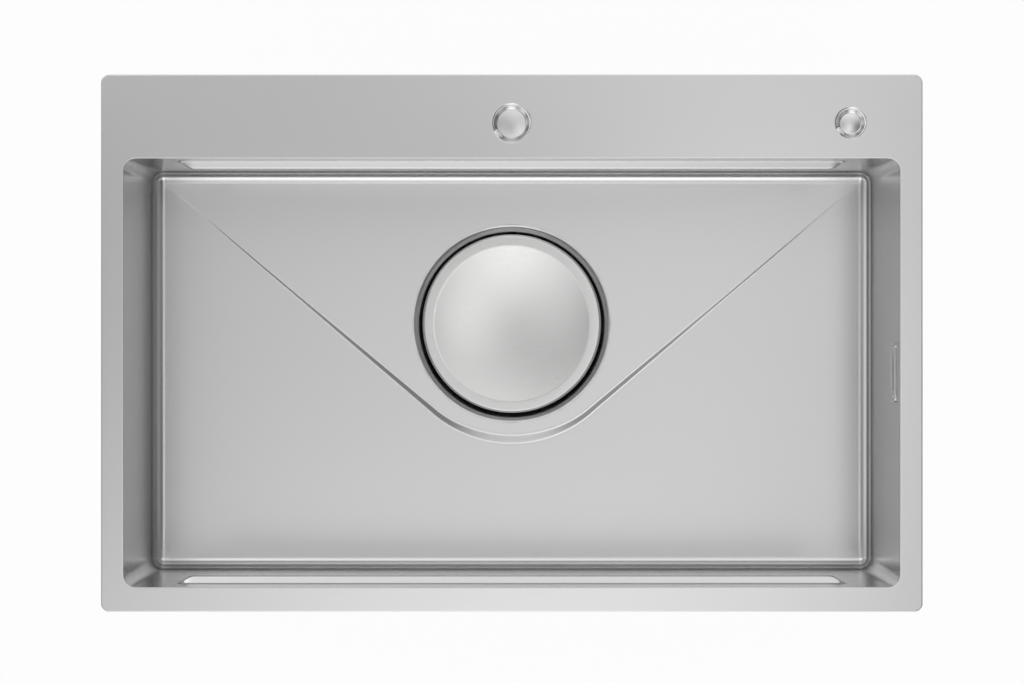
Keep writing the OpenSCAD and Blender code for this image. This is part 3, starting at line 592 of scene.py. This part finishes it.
def fall_rows():
    """Rows across the crease, from the floor to the sunken plane."""
    rows = []
    for at, inward in fall_path():
        drop = PLANE_K * (FALL_BACK - at.y)
        size = drop / FALL_H
        gentle = ease((inward.y - FALL_TURN) / (1 - FALL_TURN))
        slope = math.tan(math.radians(FALL_TILT + (FALL_FRONT_TILT - FALL_TILT) * gentle))
        slope *= FADE_LOW + (1 - FADE_LOW) * ease(size / FADE_SIZE)
        width = drop / (slope + PLANE_K * inward.y)
        knee = FALL_KNEE * size
        flat = FLAT_ROW * size
        steps = [i / 4 for i in range(-4, 5)]
        offsets = [-knee - flat] + [knee * s for s in steps] + [width / 2]
        offsets += [width + knee * s for s in steps] + [width + knee + flat]
        column = []
        for offset in offsets:
            spot = at + inward * offset
            ramp = FLOOR_Z - slope * offset
            plane = fall_plane(spot.y)
            soft = slope * knee
            if soft > 0:
                low = max(ramp, plane) + max(soft - abs(ramp - plane), 0) ** 2 / (4 * soft)
                z = min(FLOOR_Z, low) - max(soft - abs(FLOOR_Z - low), 0) ** 2 / (4 * soft)
            else:
                z = FLOOR_Z
            column.append((spot.x, spot.y, z))
        rows.append(column)
    return list(map(list, zip(*rows)))


def make_bowl():
    """Pressed bowl: walls with ledges, bends, creased floor and drain well, as one sheet."""
    net = Net()
    stations = wall_stations()
    rows = []
    for inset, z in ledge_rows():
        points = []
        for ax, ay, ux, uy, share in stations:
            out = CORNER_R - inset * share
            points.append((ax + ux * out, ay + uy * out, z))
        rows.append(points)
    for a in arc(12):
        out = CORNER_R * math.cos(a)
        z = FLOOR_Z + CORNER_R * (1 - math.sin(a))
        rows.append([(ax + ux * out, ay + uy * out, z) for ax, ay, ux, uy, _ in stations])
    margin = 0.6
    in_x = BOWL_HALF_W - CORNER_R - margin
    in_front = BOWL_FRONT + CORNER_R + margin
    in_back = BOWL_BACK - CORNER_R - margin
    border = []
    for ax, ay, _, _, _ in stations:
        border.append((max(-in_x, min(in_x, ax)), max(in_front, min(in_back, ay)), FLOOR_Z))
    rows.append(border)
    net.skin(rows)
    crease = fall_rows()
    net.skin(crease, closed=False)
    outer = [p[:2] for p in crease[0]]
    inner = [p[:2] for p in crease[-1]]
    ring_steps = 180
    mouth = circle(0, DRAIN_Y, MOUTH_R + FLAT_ROW, 0, ring_steps)
    border_flat = []
    for p in border:
        if not border_flat or (Vector(p[:2]) - Vector(border_flat[-1])).length > 0.01:
            border_flat.append(p[:2])

    def on_plain(x, y):
        return inside(border_flat, x, y) and not inside(outer, x, y)

    def on_plane(x, y):
        return inside(inner, x, y) and math.hypot(x, y - DRAIN_Y) > MOUTH_R + FLAT_ROW / 2

    net.fill([border_flat, outer], on_plain, lambda x, y: FLOOR_Z)
    net.fill([inner, mouth], on_plane, lambda x, y: fall_plane(y))

    def ring(radius, drop=None, z=None):
        points = []
        for x, y, _ in circle(0, DRAIN_Y, radius, 0, ring_steps):
            at_mouth = fall_plane(DRAIN_Y + (y - DRAIN_Y) * MOUTH_R / radius)
            points.append((x, y, at_mouth - drop if z is None else z))
        return points

    rows = [[(x, y, fall_plane(y)) for x, y, _ in mouth]]
    for a in arc(6, 0, MOUTH_TILT):
        rows.append(ring(MOUTH_R - MOUTH_ROLL * math.sin(a), drop=MOUTH_ROLL * (1 - math.cos(a))))
    tilt = math.radians(MOUTH_TILT)
    low_r = WELL_R + MOUTH_ROLL * (1 - math.sin(tilt))
    low_drop = MOUTH_ROLL * (1 - math.cos(tilt))
    low_drop += (MOUTH_R - MOUTH_ROLL * math.sin(tilt) - low_r) * math.tan(tilt)
    for a in arc(4, MOUTH_TILT, 90):
        drop = low_drop + MOUTH_ROLL * (math.cos(tilt) - math.cos(a))
        rows.append(ring(WELL_R + MOUTH_ROLL * (1 - math.sin(a)), drop=drop))
    for a in arc(8):
        radius = WELL_R - WELL_FILLET * (1 - math.cos(a))
        rows.append(ring(radius, z=WELL_Z + WELL_FILLET * (1 - math.sin(a))))
    rows.append(ring(WELL_R - WELL_FILLET - FLAT_ROW, z=WELL_Z))
    rows.append(ring(WELL_HOLE_R, z=WELL_Z))
    net.skin(rows)
    mesh = net.mesh("bowl", up_at=(0, -200, FLOOR_Z))
    bowl = put("bowl", mesh)
    thick = bowl.modifiers.new("sheet", "SOLIDIFY")
    thick.thickness = SHEET * MM
    thick.offset = -1.0
    thick.use_even_offset = True
    thick.use_rim = True
    bake(bowl)
    return bowl


deck = finish_piece(put("deck", make_deck()), deck_steel, "deck_steel", "deck_plate")
bowl = make_bowl()


def lathe(name, profile, x=0.0, y=DRAIN_Y, steps=120, body="sink", sharp=40.0):
    """Piece turned round an upright axis; the profile of (radius, height) closes off the axis."""
    net = Net()
    rows = [circle(x, y, max(r, 0.0), z, steps) if r > 0 else [(x, y, z)] * steps for r, z in profile]
    made = net.skin(rows)
    if profile[0][0] > 0 and profile[-1][0] > 0:
        net.bridge(made[-1], made[0])
    return put(name, net.mesh(name), body, sharp)


def make_cover():
    rim_roll = 1.4
    dish_knee = 1.2
    sphere = (COVER_DISH_R ** 2 + COVER_DISH ** 2) / (2 * COVER_DISH)
    top = []
    steps = 26
    for i in range(steps + 1):
        r = (COVER_DISH_R - dish_knee) * i / steps
        top.append((r, COVER_Z - COVER_DISH + sphere - math.sqrt(sphere ** 2 - r ** 2)))
    top.append((COVER_DISH_R - 0.3, COVER_Z - 0.03))
    top.append((COVER_DISH_R + dish_knee, COVER_Z))
    top.append((COVER_R - rim_roll - FLAT_ROW, COVER_Z))
    for a in arc(6):
        top.append((COVER_R - rim_roll * (1 - math.sin(a)), COVER_Z - rim_roll * (1 - math.cos(a))))
    lip_z = COVER_Z - COVER_LIP
    flare_r = COVER_R + COVER_FLARE
    low = [(COVER_R, lip_z + 1.3), (COVER_R + 0.3, lip_z + 0.9), (flare_r - 0.1, lip_z + 0.7)]
    low += [(flare_r, lip_z + 0.5), (flare_r, lip_z + 0.2), (flare_r - 0.2, lip_z)]
    low += [(COVER_R - COVER_T + 0.2, lip_z)]
    low.append((COVER_R - COVER_T, lip_z + 0.2))
    low.append((COVER_R - COVER_T, COVER_Z - COVER_T))
    low.append((COVER_DISH_R, COVER_Z - COVER_T))
    for i in range(steps, -1, -1):
        r = (COVER_DISH_R - dish_knee) * i / steps
        low.append((r, COVER_Z - COVER_DISH - COVER_T + sphere - math.sqrt(sphere ** 2 - r ** 2)))
    return lathe("drain_cover", top + low, steps=180, body="cover")


finish_piece(make_cover(), cover_steel, "cover_steel", "cover_plate")


def frame_copy(node, name):
    """The mesh of a CAD node as a new mesh, with its flat faces joined."""
    form = bmesh.new()
    form.from_mesh(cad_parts[node].data)
    bmesh.ops.remove_doubles(form, verts=form.verts, dist=5e-6)
    bmesh.ops.dissolve_limit(form, angle_limit=math.radians(0.5), verts=form.verts, edges=form.edges)
    mesh = bpy.data.meshes.new(name)
    form.to_mesh(mesh)
    form.free()
    return mesh


def soften(obj, width, crease=38.0, segments=3):
    """Rounds the edges above an angle and bakes the result, with edges above that angle kept sharp."""
    bevel = obj.modifiers.new("round", "BEVEL")
    bevel.width = width * MM
    bevel.segments = segments
    bevel.limit_method = "ANGLE"
    bevel.angle_limit = math.radians(crease)
    bevel.use_clamp_overlap = True
    bake(obj, crease)


def dressed(node, material, slot, width, body="sink", crease=38.0):
    """Piece in the shape of a CAD node, with its edges rounded."""
    obj = put(node + "_rounded", frame_copy(node, node + "_rounded"), body, crease)
    soften(obj, width, crease)
    return finish_piece(obj, material, slot, node)


BLOCK_FACES = [(0, 3, 2, 1), (4, 5, 6, 7), (0, 1, 5, 4), (1, 2, 6, 5), (2, 3, 7, 6), (3, 0, 4, 7)]
ROUNDED = (
    (("clip_rail_front", "clip_rail_back", "clip_rail_left", "clip_rail_right", "tap_stiffener",
      "clip_straps"), zinc_steel, "zinc_steel", 0.4, "sink"),
    (("drain_flange",), fitting_steel, "fitting_steel", 0.35, "sink"),
    (("basket_cup",), fitting_steel, "fitting_steel", 0.2, "basket"),
    (("stopper_post", "stopper_plug"), fitting_steel, "fitting_steel", 0.35, "stopper"),
    (("stopper_seal",), seal_rubber, "seal_rubber", 0.5, "stopper"),
    (("flange_seal", "body_seal", "overflow_seal"), seal_rubber, "seal_rubber", 0.3, "sink"),
    (("cover_feet",), seal_rubber, "seal_rubber", 0.8, "cover"),
    (("floor_pad_left", "floor_pad_right", "front_wall_pad", "back_wall_pad", "left_wall_pad",
      "right_wall_pad"), damping_rubber, "damping_rubber", 0.7, "sink"),
    (("rim_seal",), rim_foam, "rim_foam", 0.5, "sink"),
    (("waste_body", "waste_funnel", "overflow_elbow", "hose_nuts"), waste_plastic, "waste_plastic", 0.6,
     "sink"),
)
for names, material, slot, width, body in ROUNDED:
    for name in names:
        dressed(name, material, slot, width, body)


def make_blank(name, node, hole_x, hole_r):
    """Sunken disc that still closes a punched hole, with a sloping ring and a level tab across it."""
    x, y = hole_x + BLANK_SHIFT[0], HOLE_Y + BLANK_SHIFT[1]
    rim_r = hole_r - BLANK_GAP
    flat_r = hole_r - BLANK_SLOPE_W
    flat_z = BLANK_RIM_Z - BLANK_DISH
    edge_r = 0.5
    tab_z = DECK_Z - 0.12
    step_w = 0.7
    bridge_x = math.cos(math.radians(BRIDGE_ANGLE))
    bridge_y = math.sin(math.radians(BRIDGE_ANGLE))
    slope = BLANK_DISH / (rim_r - edge_r - flat_r)
    knee = 0.8

    def top(r):
        """Height of the pressed face at a radius, without the tab."""
        ramp = (r - flat_r) * slope
        soft = slope * knee
        rise = max(ramp, 0.0) + max(soft - abs(ramp), 0.0) ** 2 / (4 * soft)
        round_edge = max(0.0, r - rim_r + edge_r)
        drop = edge_r - math.sqrt(max(edge_r ** 2 - round_edge ** 2, 0.0))
        dome = BLANK_DOME * (1 - (r / flat_r) ** 2)
        return min(flat_z + rise, BLANK_RIM_Z) - drop + max(dome, 0.0)

    def raised(px, py, z):
        """Height with the tab, which is level from the disc's straight edge to the rim."""
        along = px * bridge_x + py * bridge_y - flat_r
        across = abs(px * bridge_y - py * bridge_x)
        share = ease((along + step_w / 2) / step_w) * (1 - ease((across - TAB_HALF_W) / step_w))
        return max(z, z + (tab_z - z) * share)

    radii = spread(0.0, flat_r - 1.2, 8) + spread(flat_r - 1.2, rim_r - edge_r, 16)
    radii += [rim_r - edge_r + edge_r * math.sin(a) for a in arc(4)]
    net = Net()
    rows = []
    for r in radii:
        ring = [(px, py, top(r)) for px, py, _ in circle(0, 0, r, 0, 180)]
        rows.append([(x + px, y + py, raised(px, py, z)) for px, py, z in ring])
    for r in reversed(radii[:-4]):
        ring = [(px, py, top(r)) for px, py, _ in circle(0, 0, r, 0, 180)]
        rows.append([(x + px, y + py, raised(px, py, z) - SHEET) for px, py, z in ring])
    net.skin(rows)
    obj = put(name, net.mesh(name, up_at=(x, y, flat_z + BLANK_DOME)), sharp=50.0)
    bridge = make_bridge(name + "_bridge", x, y, rim_r, bridge_x, bridge_y)
    finish_piece(bridge, blank_steel, "blank_steel", node)
    return finish_piece(obj, blank_steel, "blank_steel", node)


def make_bridge(name, x, y, rim_r, dir_x, dir_y):
    """Strip of the sheet that still joins a blank to the deck."""
    first, last, half = rim_r - 1.0, rim_r + BRIDGE_REACH, TAB_HALF_W - 0.2
    top, low = DECK_Z - 0.03, UNDER_DECK_Z - 0.1
    corners = [(first, -half), (last, -half), (last, half), (first, half)]
    net = Net()
    for z in (low, top):
        net.row([(x + a * dir_x - b * dir_y, y + a * dir_y + b * dir_x, z) for a, b in corners])
    net.faces += BLOCK_FACES
    obj = put(name, net.mesh(name))
    soften(obj, 0.15)
    return obj


make_blank("tap_blank_disc", "tap_hole_blank", 0.0, TAP_R)
make_blank("dispenser_blank_disc", "dispenser_hole_blank", DISPENSER_X, DISPENSER_R)


def wall_place(point):
    """From a plan with its height towards the bowl to a place on the inner face of the right wall."""
    u, v, height = point
    return (BOWL_HALF_W - height, BOWL_Y + u, OVERFLOW_Z + v)


def slot_loop(length, height, grow, z):
    """Slot with round ends."""
    return rounded_loop(length, height, height / 2, 0.0, grow, z, side_steps=6)


def make_overflow_plate():
    """Plate with rolled edges round its outline and its slot, on the right wall."""
    roll = 0.7
    net = Net()

    def outline(grow, z):
        return rounded_loop(PLATE_L, PLATE_H, PLATE_R, 0.0, grow, z)

    rows = [outline(-roll - 0.2, PLATE_T)]
    rows += [outline(roll * (math.sin(a) - 1), PLATE_T - roll * (1 - math.cos(a))) for a in arc(5)]
    rows.append(outline(0, 0))
    net.skin(rows)
    holes = [[slot_loop(SLOT_L, SLOT_H, roll + 0.2, PLATE_T)]]
    for a in arc(5):
        grow, z = roll * (1 - math.sin(a)), PLATE_T - roll * (1 - math.cos(a))
        holes[0].append(slot_loop(SLOT_L, SLOT_H, grow, z))
    holes[0].append(slot_loop(SLOT_L, SLOT_H, 0, 0))
    for side in (-1, 1):
        holes.append([circle(side * SCREW_AT, 0, SCREW_R + 0.1, z, 32) for z in (PLATE_T, 0)])
    for hole in holes:
        net.skin(hole)
    for z, number in ((PLATE_T, 0), (0, -1)):
        loops = [rows[number]] + [hole[number] for hole in holes]
        flat = [[p[:2] for p in loop] for loop in loops]
        net.fill(
            loops,
            lambda x, y: inside(flat[0], x, y) and not any(inside(f, x, y) for f in flat[1:]),
            lambda x, y: z,
        )
    net.points = [wall_place(p) for p in net.points]
    return net.mesh("overflow_plate_rolled")


def make_overflow_screw(side):
    """Raised countersunk screw with a cross recess, through the wall."""
    name = "overflow_screw_%s" % ("back" if side > 0 else "front")
    head_top = PLATE_T + SCREW_HEAD_T
    crown = 0.5
    profile = [(0.0, head_top)]
    for i in range(1, 7):
        r = (SCREW_HEAD_R - 0.3) * i / 6
        profile.append((r, head_top - crown * (r / SCREW_HEAD_R) ** 2))
    end = BOWL_HALF_W - SCREW_END_X
    profile += [(SCREW_HEAD_R, head_top - crown - 0.3), (SCREW_HEAD_R, PLATE_T + 0.05), (SCREW_R, PLATE_T)]
    profile += [(SCREW_R, end + 1.0), (0.8, end), (0.0, end)]
    net = Net()
    net.skin([circle(side * SCREW_AT, 0, r, z, 40) for r, z in profile])
    net.points = [wall_place(p) for p in net.points]
    obj = put(name, net.mesh(name))
    arm, half = 1.7, 0.28
    for across in (0, 1):
        a, b = (arm, half) if across == 0 else (half, arm)
        block = box_piece("recess", (
            BOWL_HALF_W - head_top - 0.5, BOWL_Y + side * SCREW_AT - a, OVERFLOW_Z - b,
            BOWL_HALF_W - head_top + 0.8, BOWL_Y + side * SCREW_AT + a, OVERFLOW_Z + b,
        ))
        carve(obj, block)
    return obj


def box_piece(name, corners):
    """Plain block between two corners, used only as a cutter."""
    x0, y0, z0, x1, y1, z1 = corners
    net = Net()
    net.row([(x0, y0, z0), (x1, y0, z0), (x1, y1, z0), (x0, y1, z0),
             (x0, y0, z1), (x1, y0, z1), (x1, y1, z1), (x0, y1, z1)])
    net.faces += BLOCK_FACES
    return cutter(name, net)


def cutter(name, net):
    obj = bpy.data.objects.new(name, net.mesh(name))
    bpy.context.scene.collection.objects.link(obj)
    return obj


def carve(obj, tool):
    """Takes a cutter's volume from a piece and removes the cutter."""
    cut = obj.modifiers.new("cut", "BOOLEAN")
    cut.operation = "DIFFERENCE"
    cut.solver = "EXACT"
    cut.object = tool
    bake(obj)
    bpy.data.objects.remove(tool, do_unlink=True)


def cut_wall():
    """The overflow's slot and screw holes through the right wall."""
    depth = 6.0
    loops = [slot_loop(WALL_SLOT_L, WALL_SLOT_H, 0, 0)]
    loops += [circle(side * SCREW_AT, 0, SCREW_R + 0.1, 0, 24) for side in (-1, 1)]
    for loop in loops:
        net = Net()
        rows = net.skin([[wall_place((u, v, h)) for u, v, _ in loop] for h in (depth, -depth)])
        net.faces.append(tuple(reversed(rows[0])))
        net.faces.append(tuple(rows[1]))
        carve(bowl, cutter("wall_cutter", net))


cut_wall()
finish_piece(bowl, bowl_steel, "bowl_steel", "bowl_shell")
plate = put("overflow_plate_rolled", make_overflow_plate())
finish_piece(plate, fitting_steel, "fitting_steel", "overflow_plate")
for side in (-1, 1):
    finish_piece(make_overflow_screw(side), fitting_steel, "fitting_steel", "overflow_screws")


def hose_point(s):
    """Point of the hose's middle line at a distance from its upper end."""
    fall = HOSE_TOP_Z - BRANCH_Z - HOSE_BEND
    turn = math.pi / 2 * HOSE_BEND
    run = HOSE_X - HOSE_BEND - BRANCH_X
    angle = max(0.0, min(math.pi / 2, (s - fall) / HOSE_BEND))
    past = s - fall - turn
    x = HOSE_X - HOSE_BEND * (1 - math.cos(angle)) - max(0.0, past)
    y = BOWL_Y + (DRAIN_Y - BOWL_Y) * ease(past / (run - CUFF))
    z = HOSE_TOP_Z - min(s, fall) - HOSE_BEND * math.sin(angle)
    return Vector((x, y, z))


def make_hose():
    """Ribbed hose with plain cuffs."""
    length = HOSE_TOP_Z - BRANCH_Z - HOSE_BEND + math.pi / 2 * HOSE_BEND + HOSE_X - HOSE_BEND - BRANCH_X
    sides = 36
    ribs = int((length - 2 * CUFF) / RIB_PITCH)
    rib_steps = 8
    stations = [(0.3, HOSE_R - 0.3), (0.6, HOSE_R), (CUFF - 1.5, HOSE_R)]
    for i in range(ribs * rib_steps + 1):
        phase = 0.5 + 0.5 * math.cos(2 * math.pi * i / rib_steps)
        stations.append((CUFF + i * RIB_PITCH / rib_steps, HOSE_R - RIB_DEPTH * ease(phase)))
    stations += [(length - CUFF + 1.5, HOSE_R), (length - 0.6, HOSE_R), (length - 0.3, HOSE_R - 0.3)]
    inner_steps = 70
    inner = [(0.3 + (length - 0.6) * i / inner_steps, HOSE_BORE) for i in range(inner_steps, -1, -1)]
    net = Net()
    rows = []
    for s, radius in stations + inner:
        at = hose_point(s)
        ahead = (hose_point(s + 0.5) - hose_point(s - 0.5)).normalized()
        side = ahead.cross(Vector((0, 1, 0))).normalized()
        over = ahead.cross(side)
        turns = [2 * math.pi * k / sides for k in range(sides)]
        rows.append([at + radius * (math.cos(turn) * side + math.sin(turn) * over) for turn in turns])
    made = net.skin(rows)
    net.bridge(made[-1], made[0])
    return put("ribbed_overflow_hose", net.mesh("ribbed_overflow_hose"), sharp=50.0)


finish_piece(make_hose(), hose_plastic, "hose_plastic", "overflow_hose")


def wing_outline(side):
    """Ear of a wing screw in its own plane, as (along, height)."""
    corner = 2.6
    out, top, low = WING_HALF, SHANK_LOW, WING_LOW
    points = [(HUB_R - 2.0, low + 1.2), (HUB_R + 0.5, low + 1.0)]
    for a in arc(5, -90, 0):
        points.append((out - corner + corner * math.cos(a), low + corner + corner * math.sin(a)))
    for a in arc(5, 0, 90):
        points.append((out - corner + corner * math.cos(a), top - corner + corner * math.sin(a)))
    points += [(HUB_R + 1.2, top - 2.2), (HUB_R - 2.0, top - 2.0)]
    return [(side * along, z) for along, z in points]


def make_wing_screw(number):
    """Wing screw with a rolled thread, a pressure pad and two ears."""
    name = "wing_screw_%d" % number
    node = "clamp_screw_%d" % number
    low, high = (Vector(corner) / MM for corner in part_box(node))
    at_x, at_y = (low.x + high.x) / 2, (low.y + high.y) / 2
    along_x = high.x - low.x > high.y - low.y
    sides, turn_steps = 18, 6
    net = Net()
    rows = [(0.0, SCREW_PAD_TOP), (SCREW_PAD_R - 0.5, SCREW_PAD_TOP), (SCREW_PAD_R, SCREW_PAD_TOP - 0.5),
            (SCREW_PAD_R, SCREW_PAD_LOW + 0.3), (SCREW_PAD_R - 0.3, SCREW_PAD_LOW),
            (SHANK_R - THREAD_DEPTH, SCREW_PAD_LOW)]
    plain = len(rows)
    thread_rows = int((SCREW_PAD_LOW - 2.0 - SHANK_LOW) / THREAD_PITCH * turn_steps)
    rows += [(SHANK_R, SCREW_PAD_LOW - 1.5 - i * THREAD_PITCH / turn_steps) for i in range(thread_rows)]
    threaded = len(rows)
    rows += [(SHANK_R - THREAD_DEPTH, SHANK_LOW + 0.3), (HUB_R - 0.6, SHANK_LOW), (HUB_R, SHANK_LOW - 0.6),
             (HUB_R, WING_LOW + 0.6), (HUB_R - 0.6, WING_LOW), (0.0, WING_LOW)]
    shape = []
    for index, (radius, z) in enumerate(rows):
        row = []
        for k in range(sides):
            angle = 2 * math.pi * k / sides
            r = radius
            if plain <= index < threaded:
                phase = (z / THREAD_PITCH + k / sides) % 1.0
                r = SHANK_R - THREAD_DEPTH * abs(2 * phase - 1)
            row.append((at_x + r * math.cos(angle), at_y + r * math.sin(angle), z))
        shape.append(row)
    net.skin(shape)
    for side in (-1, 1):
        outline = wing_outline(side)
        inset = [(side * HUB_R * 0.5 + (u - side * HUB_R * 0.5) * 0.97, z) for u, z in outline]
        flat, edge = WING_T / 2, WING_T / 2 - 0.35
        layers = ((inset, -flat), (outline, -edge), (outline, edge), (inset, flat))
        ear = []
        for loop, v in layers:
            ear.append([(at_x + (u if along_x else v), at_y + (v if along_x else u), z) for u, z in loop])
        made = net.skin(ear)
        net.faces.append(tuple(reversed(made[0])))
        net.faces.append(tuple(made[-1]))
    obj = put(name, net.mesh(name), body="clamp_%d" % number)
    return finish_piece(obj, zinc_steel, "zinc_steel", node)


for number in range(1, 9):
    make_wing_screw(number)


def make_floor():
    """Pale floor under the sink; the camera sees it nearly white, and it keeps the shadow."""
    size = 4.0
    z = cad_box[0][2] - 0.001
    mesh = bpy.data.meshes.new("studio_floor")
    corners = [(-size, -size, z), (size, -size, z), (size, size, z), (-size, size, z)]
    mesh.from_pydata(corners, [], [(0, 1, 2, 3)])
    floor = bpy.data.objects.new("studio_floor", mesh)
    bpy.context.scene.collection.objects.link(floor)
    material, graph = new_material("studio_floor")
    grain = graph.noise((3.0, 3.0, 3.0), detail=2.0)
    pale = graph.between(grain, (0.90, 0.90, 0.90), (0.93, 0.93, 0.93))
    plain = graph.add("BsdfDiffuse", {"Color": pale}).outputs[0]
    glow = graph.add("Emission", {"Color": (1.0, 1.0, 1.0, 1.0), "Strength": 1.0}).outputs[0]
    path = graph.add("LightPath")
    shown = graph.math("MAXIMUM", path.outputs["Is Camera Ray"], path.outputs["Is Glossy Ray"])
    shown = graph.math("MAXIMUM", shown, path.outputs["Is Transmission Ray"])
    seen = graph.math("MULTIPLY", shown, 0.96)
    mixed = graph.add("MixShader", {0: seen, 1: plain, 2: glow}).outputs[0]
    graph.add("OutputMaterial", {"Surface": mixed})
    floor.data.materials.append(material)


def make_world():
    """Studio light by direction: soft round lights in a dim room."""
    world = bpy.data.worlds.new("studio")
    bpy.context.scene.world = world
    world.use_nodes = True
    graph = Graph(world.node_tree)
    way = graph.add("TexCoord").outputs["Generated"]
    height = graph.add("SeparateXYZ", {0: way}).outputs[2]
    total = graph.steps(height, -0.15, 0.0, UNDER_LEVEL, ROOM_LEVEL)

    def lamp(azimuth, elevation, inner, outer, level):
        """Round soft light: full inside one angle from its middle, gone at another, all in degrees."""
        flat = math.cos(math.radians(elevation))
        axis = (flat * math.cos(math.radians(azimuth)), flat * math.sin(math.radians(azimuth)),
                math.sin(math.radians(elevation)))
        dot = graph.add("VectorMath", {0: way, 1: axis}, operation="DOT_PRODUCT").outputs["Value"]
        angle = graph.math("ARCCOSINE", dot)
        fall = graph.steps(angle, math.radians(inner), math.radians(outer), 1.0, 0.0)
        return graph.math("MULTIPLY", fall, level)

    for elevation, inner, outer, lights in LAMP_RINGS:
        for azimuth, level in lights:
            total = graph.math("ADD", total, lamp(azimuth, elevation, inner, outer, level))
    glow = graph.add("Background", {"Color": (1.0, 1.0, 1.0, 1.0), "Strength": total}).outputs[0]
    white = graph.add("Background", {"Color": (1.0, 1.0, 1.0, 1.0), "Strength": 1.0}).outputs[0]
    seen = graph.add("LightPath").outputs["Is Camera Ray"]
    mixed = graph.add("MixShader", {0: seen, 1: glow, 2: white}).outputs[0]
    graph.add("OutputWorld", {"Surface": mixed})


def make_camera():
    data = bpy.data.cameras.new("camera")
    data.sensor_width = SENSOR_MM
    data.lens = LENS_MM
    data.clip_end = 50.0
    camera = bpy.data.objects.new("camera", data)
    camera.location = Vector(CAMERA_AT) * MM
    bpy.context.scene.collection.objects.link(camera)
    bpy.context.scene.camera = camera


make_floor()
make_world()
make_camera()
bpy.context.scene.view_settings.view_transform = "Standard"
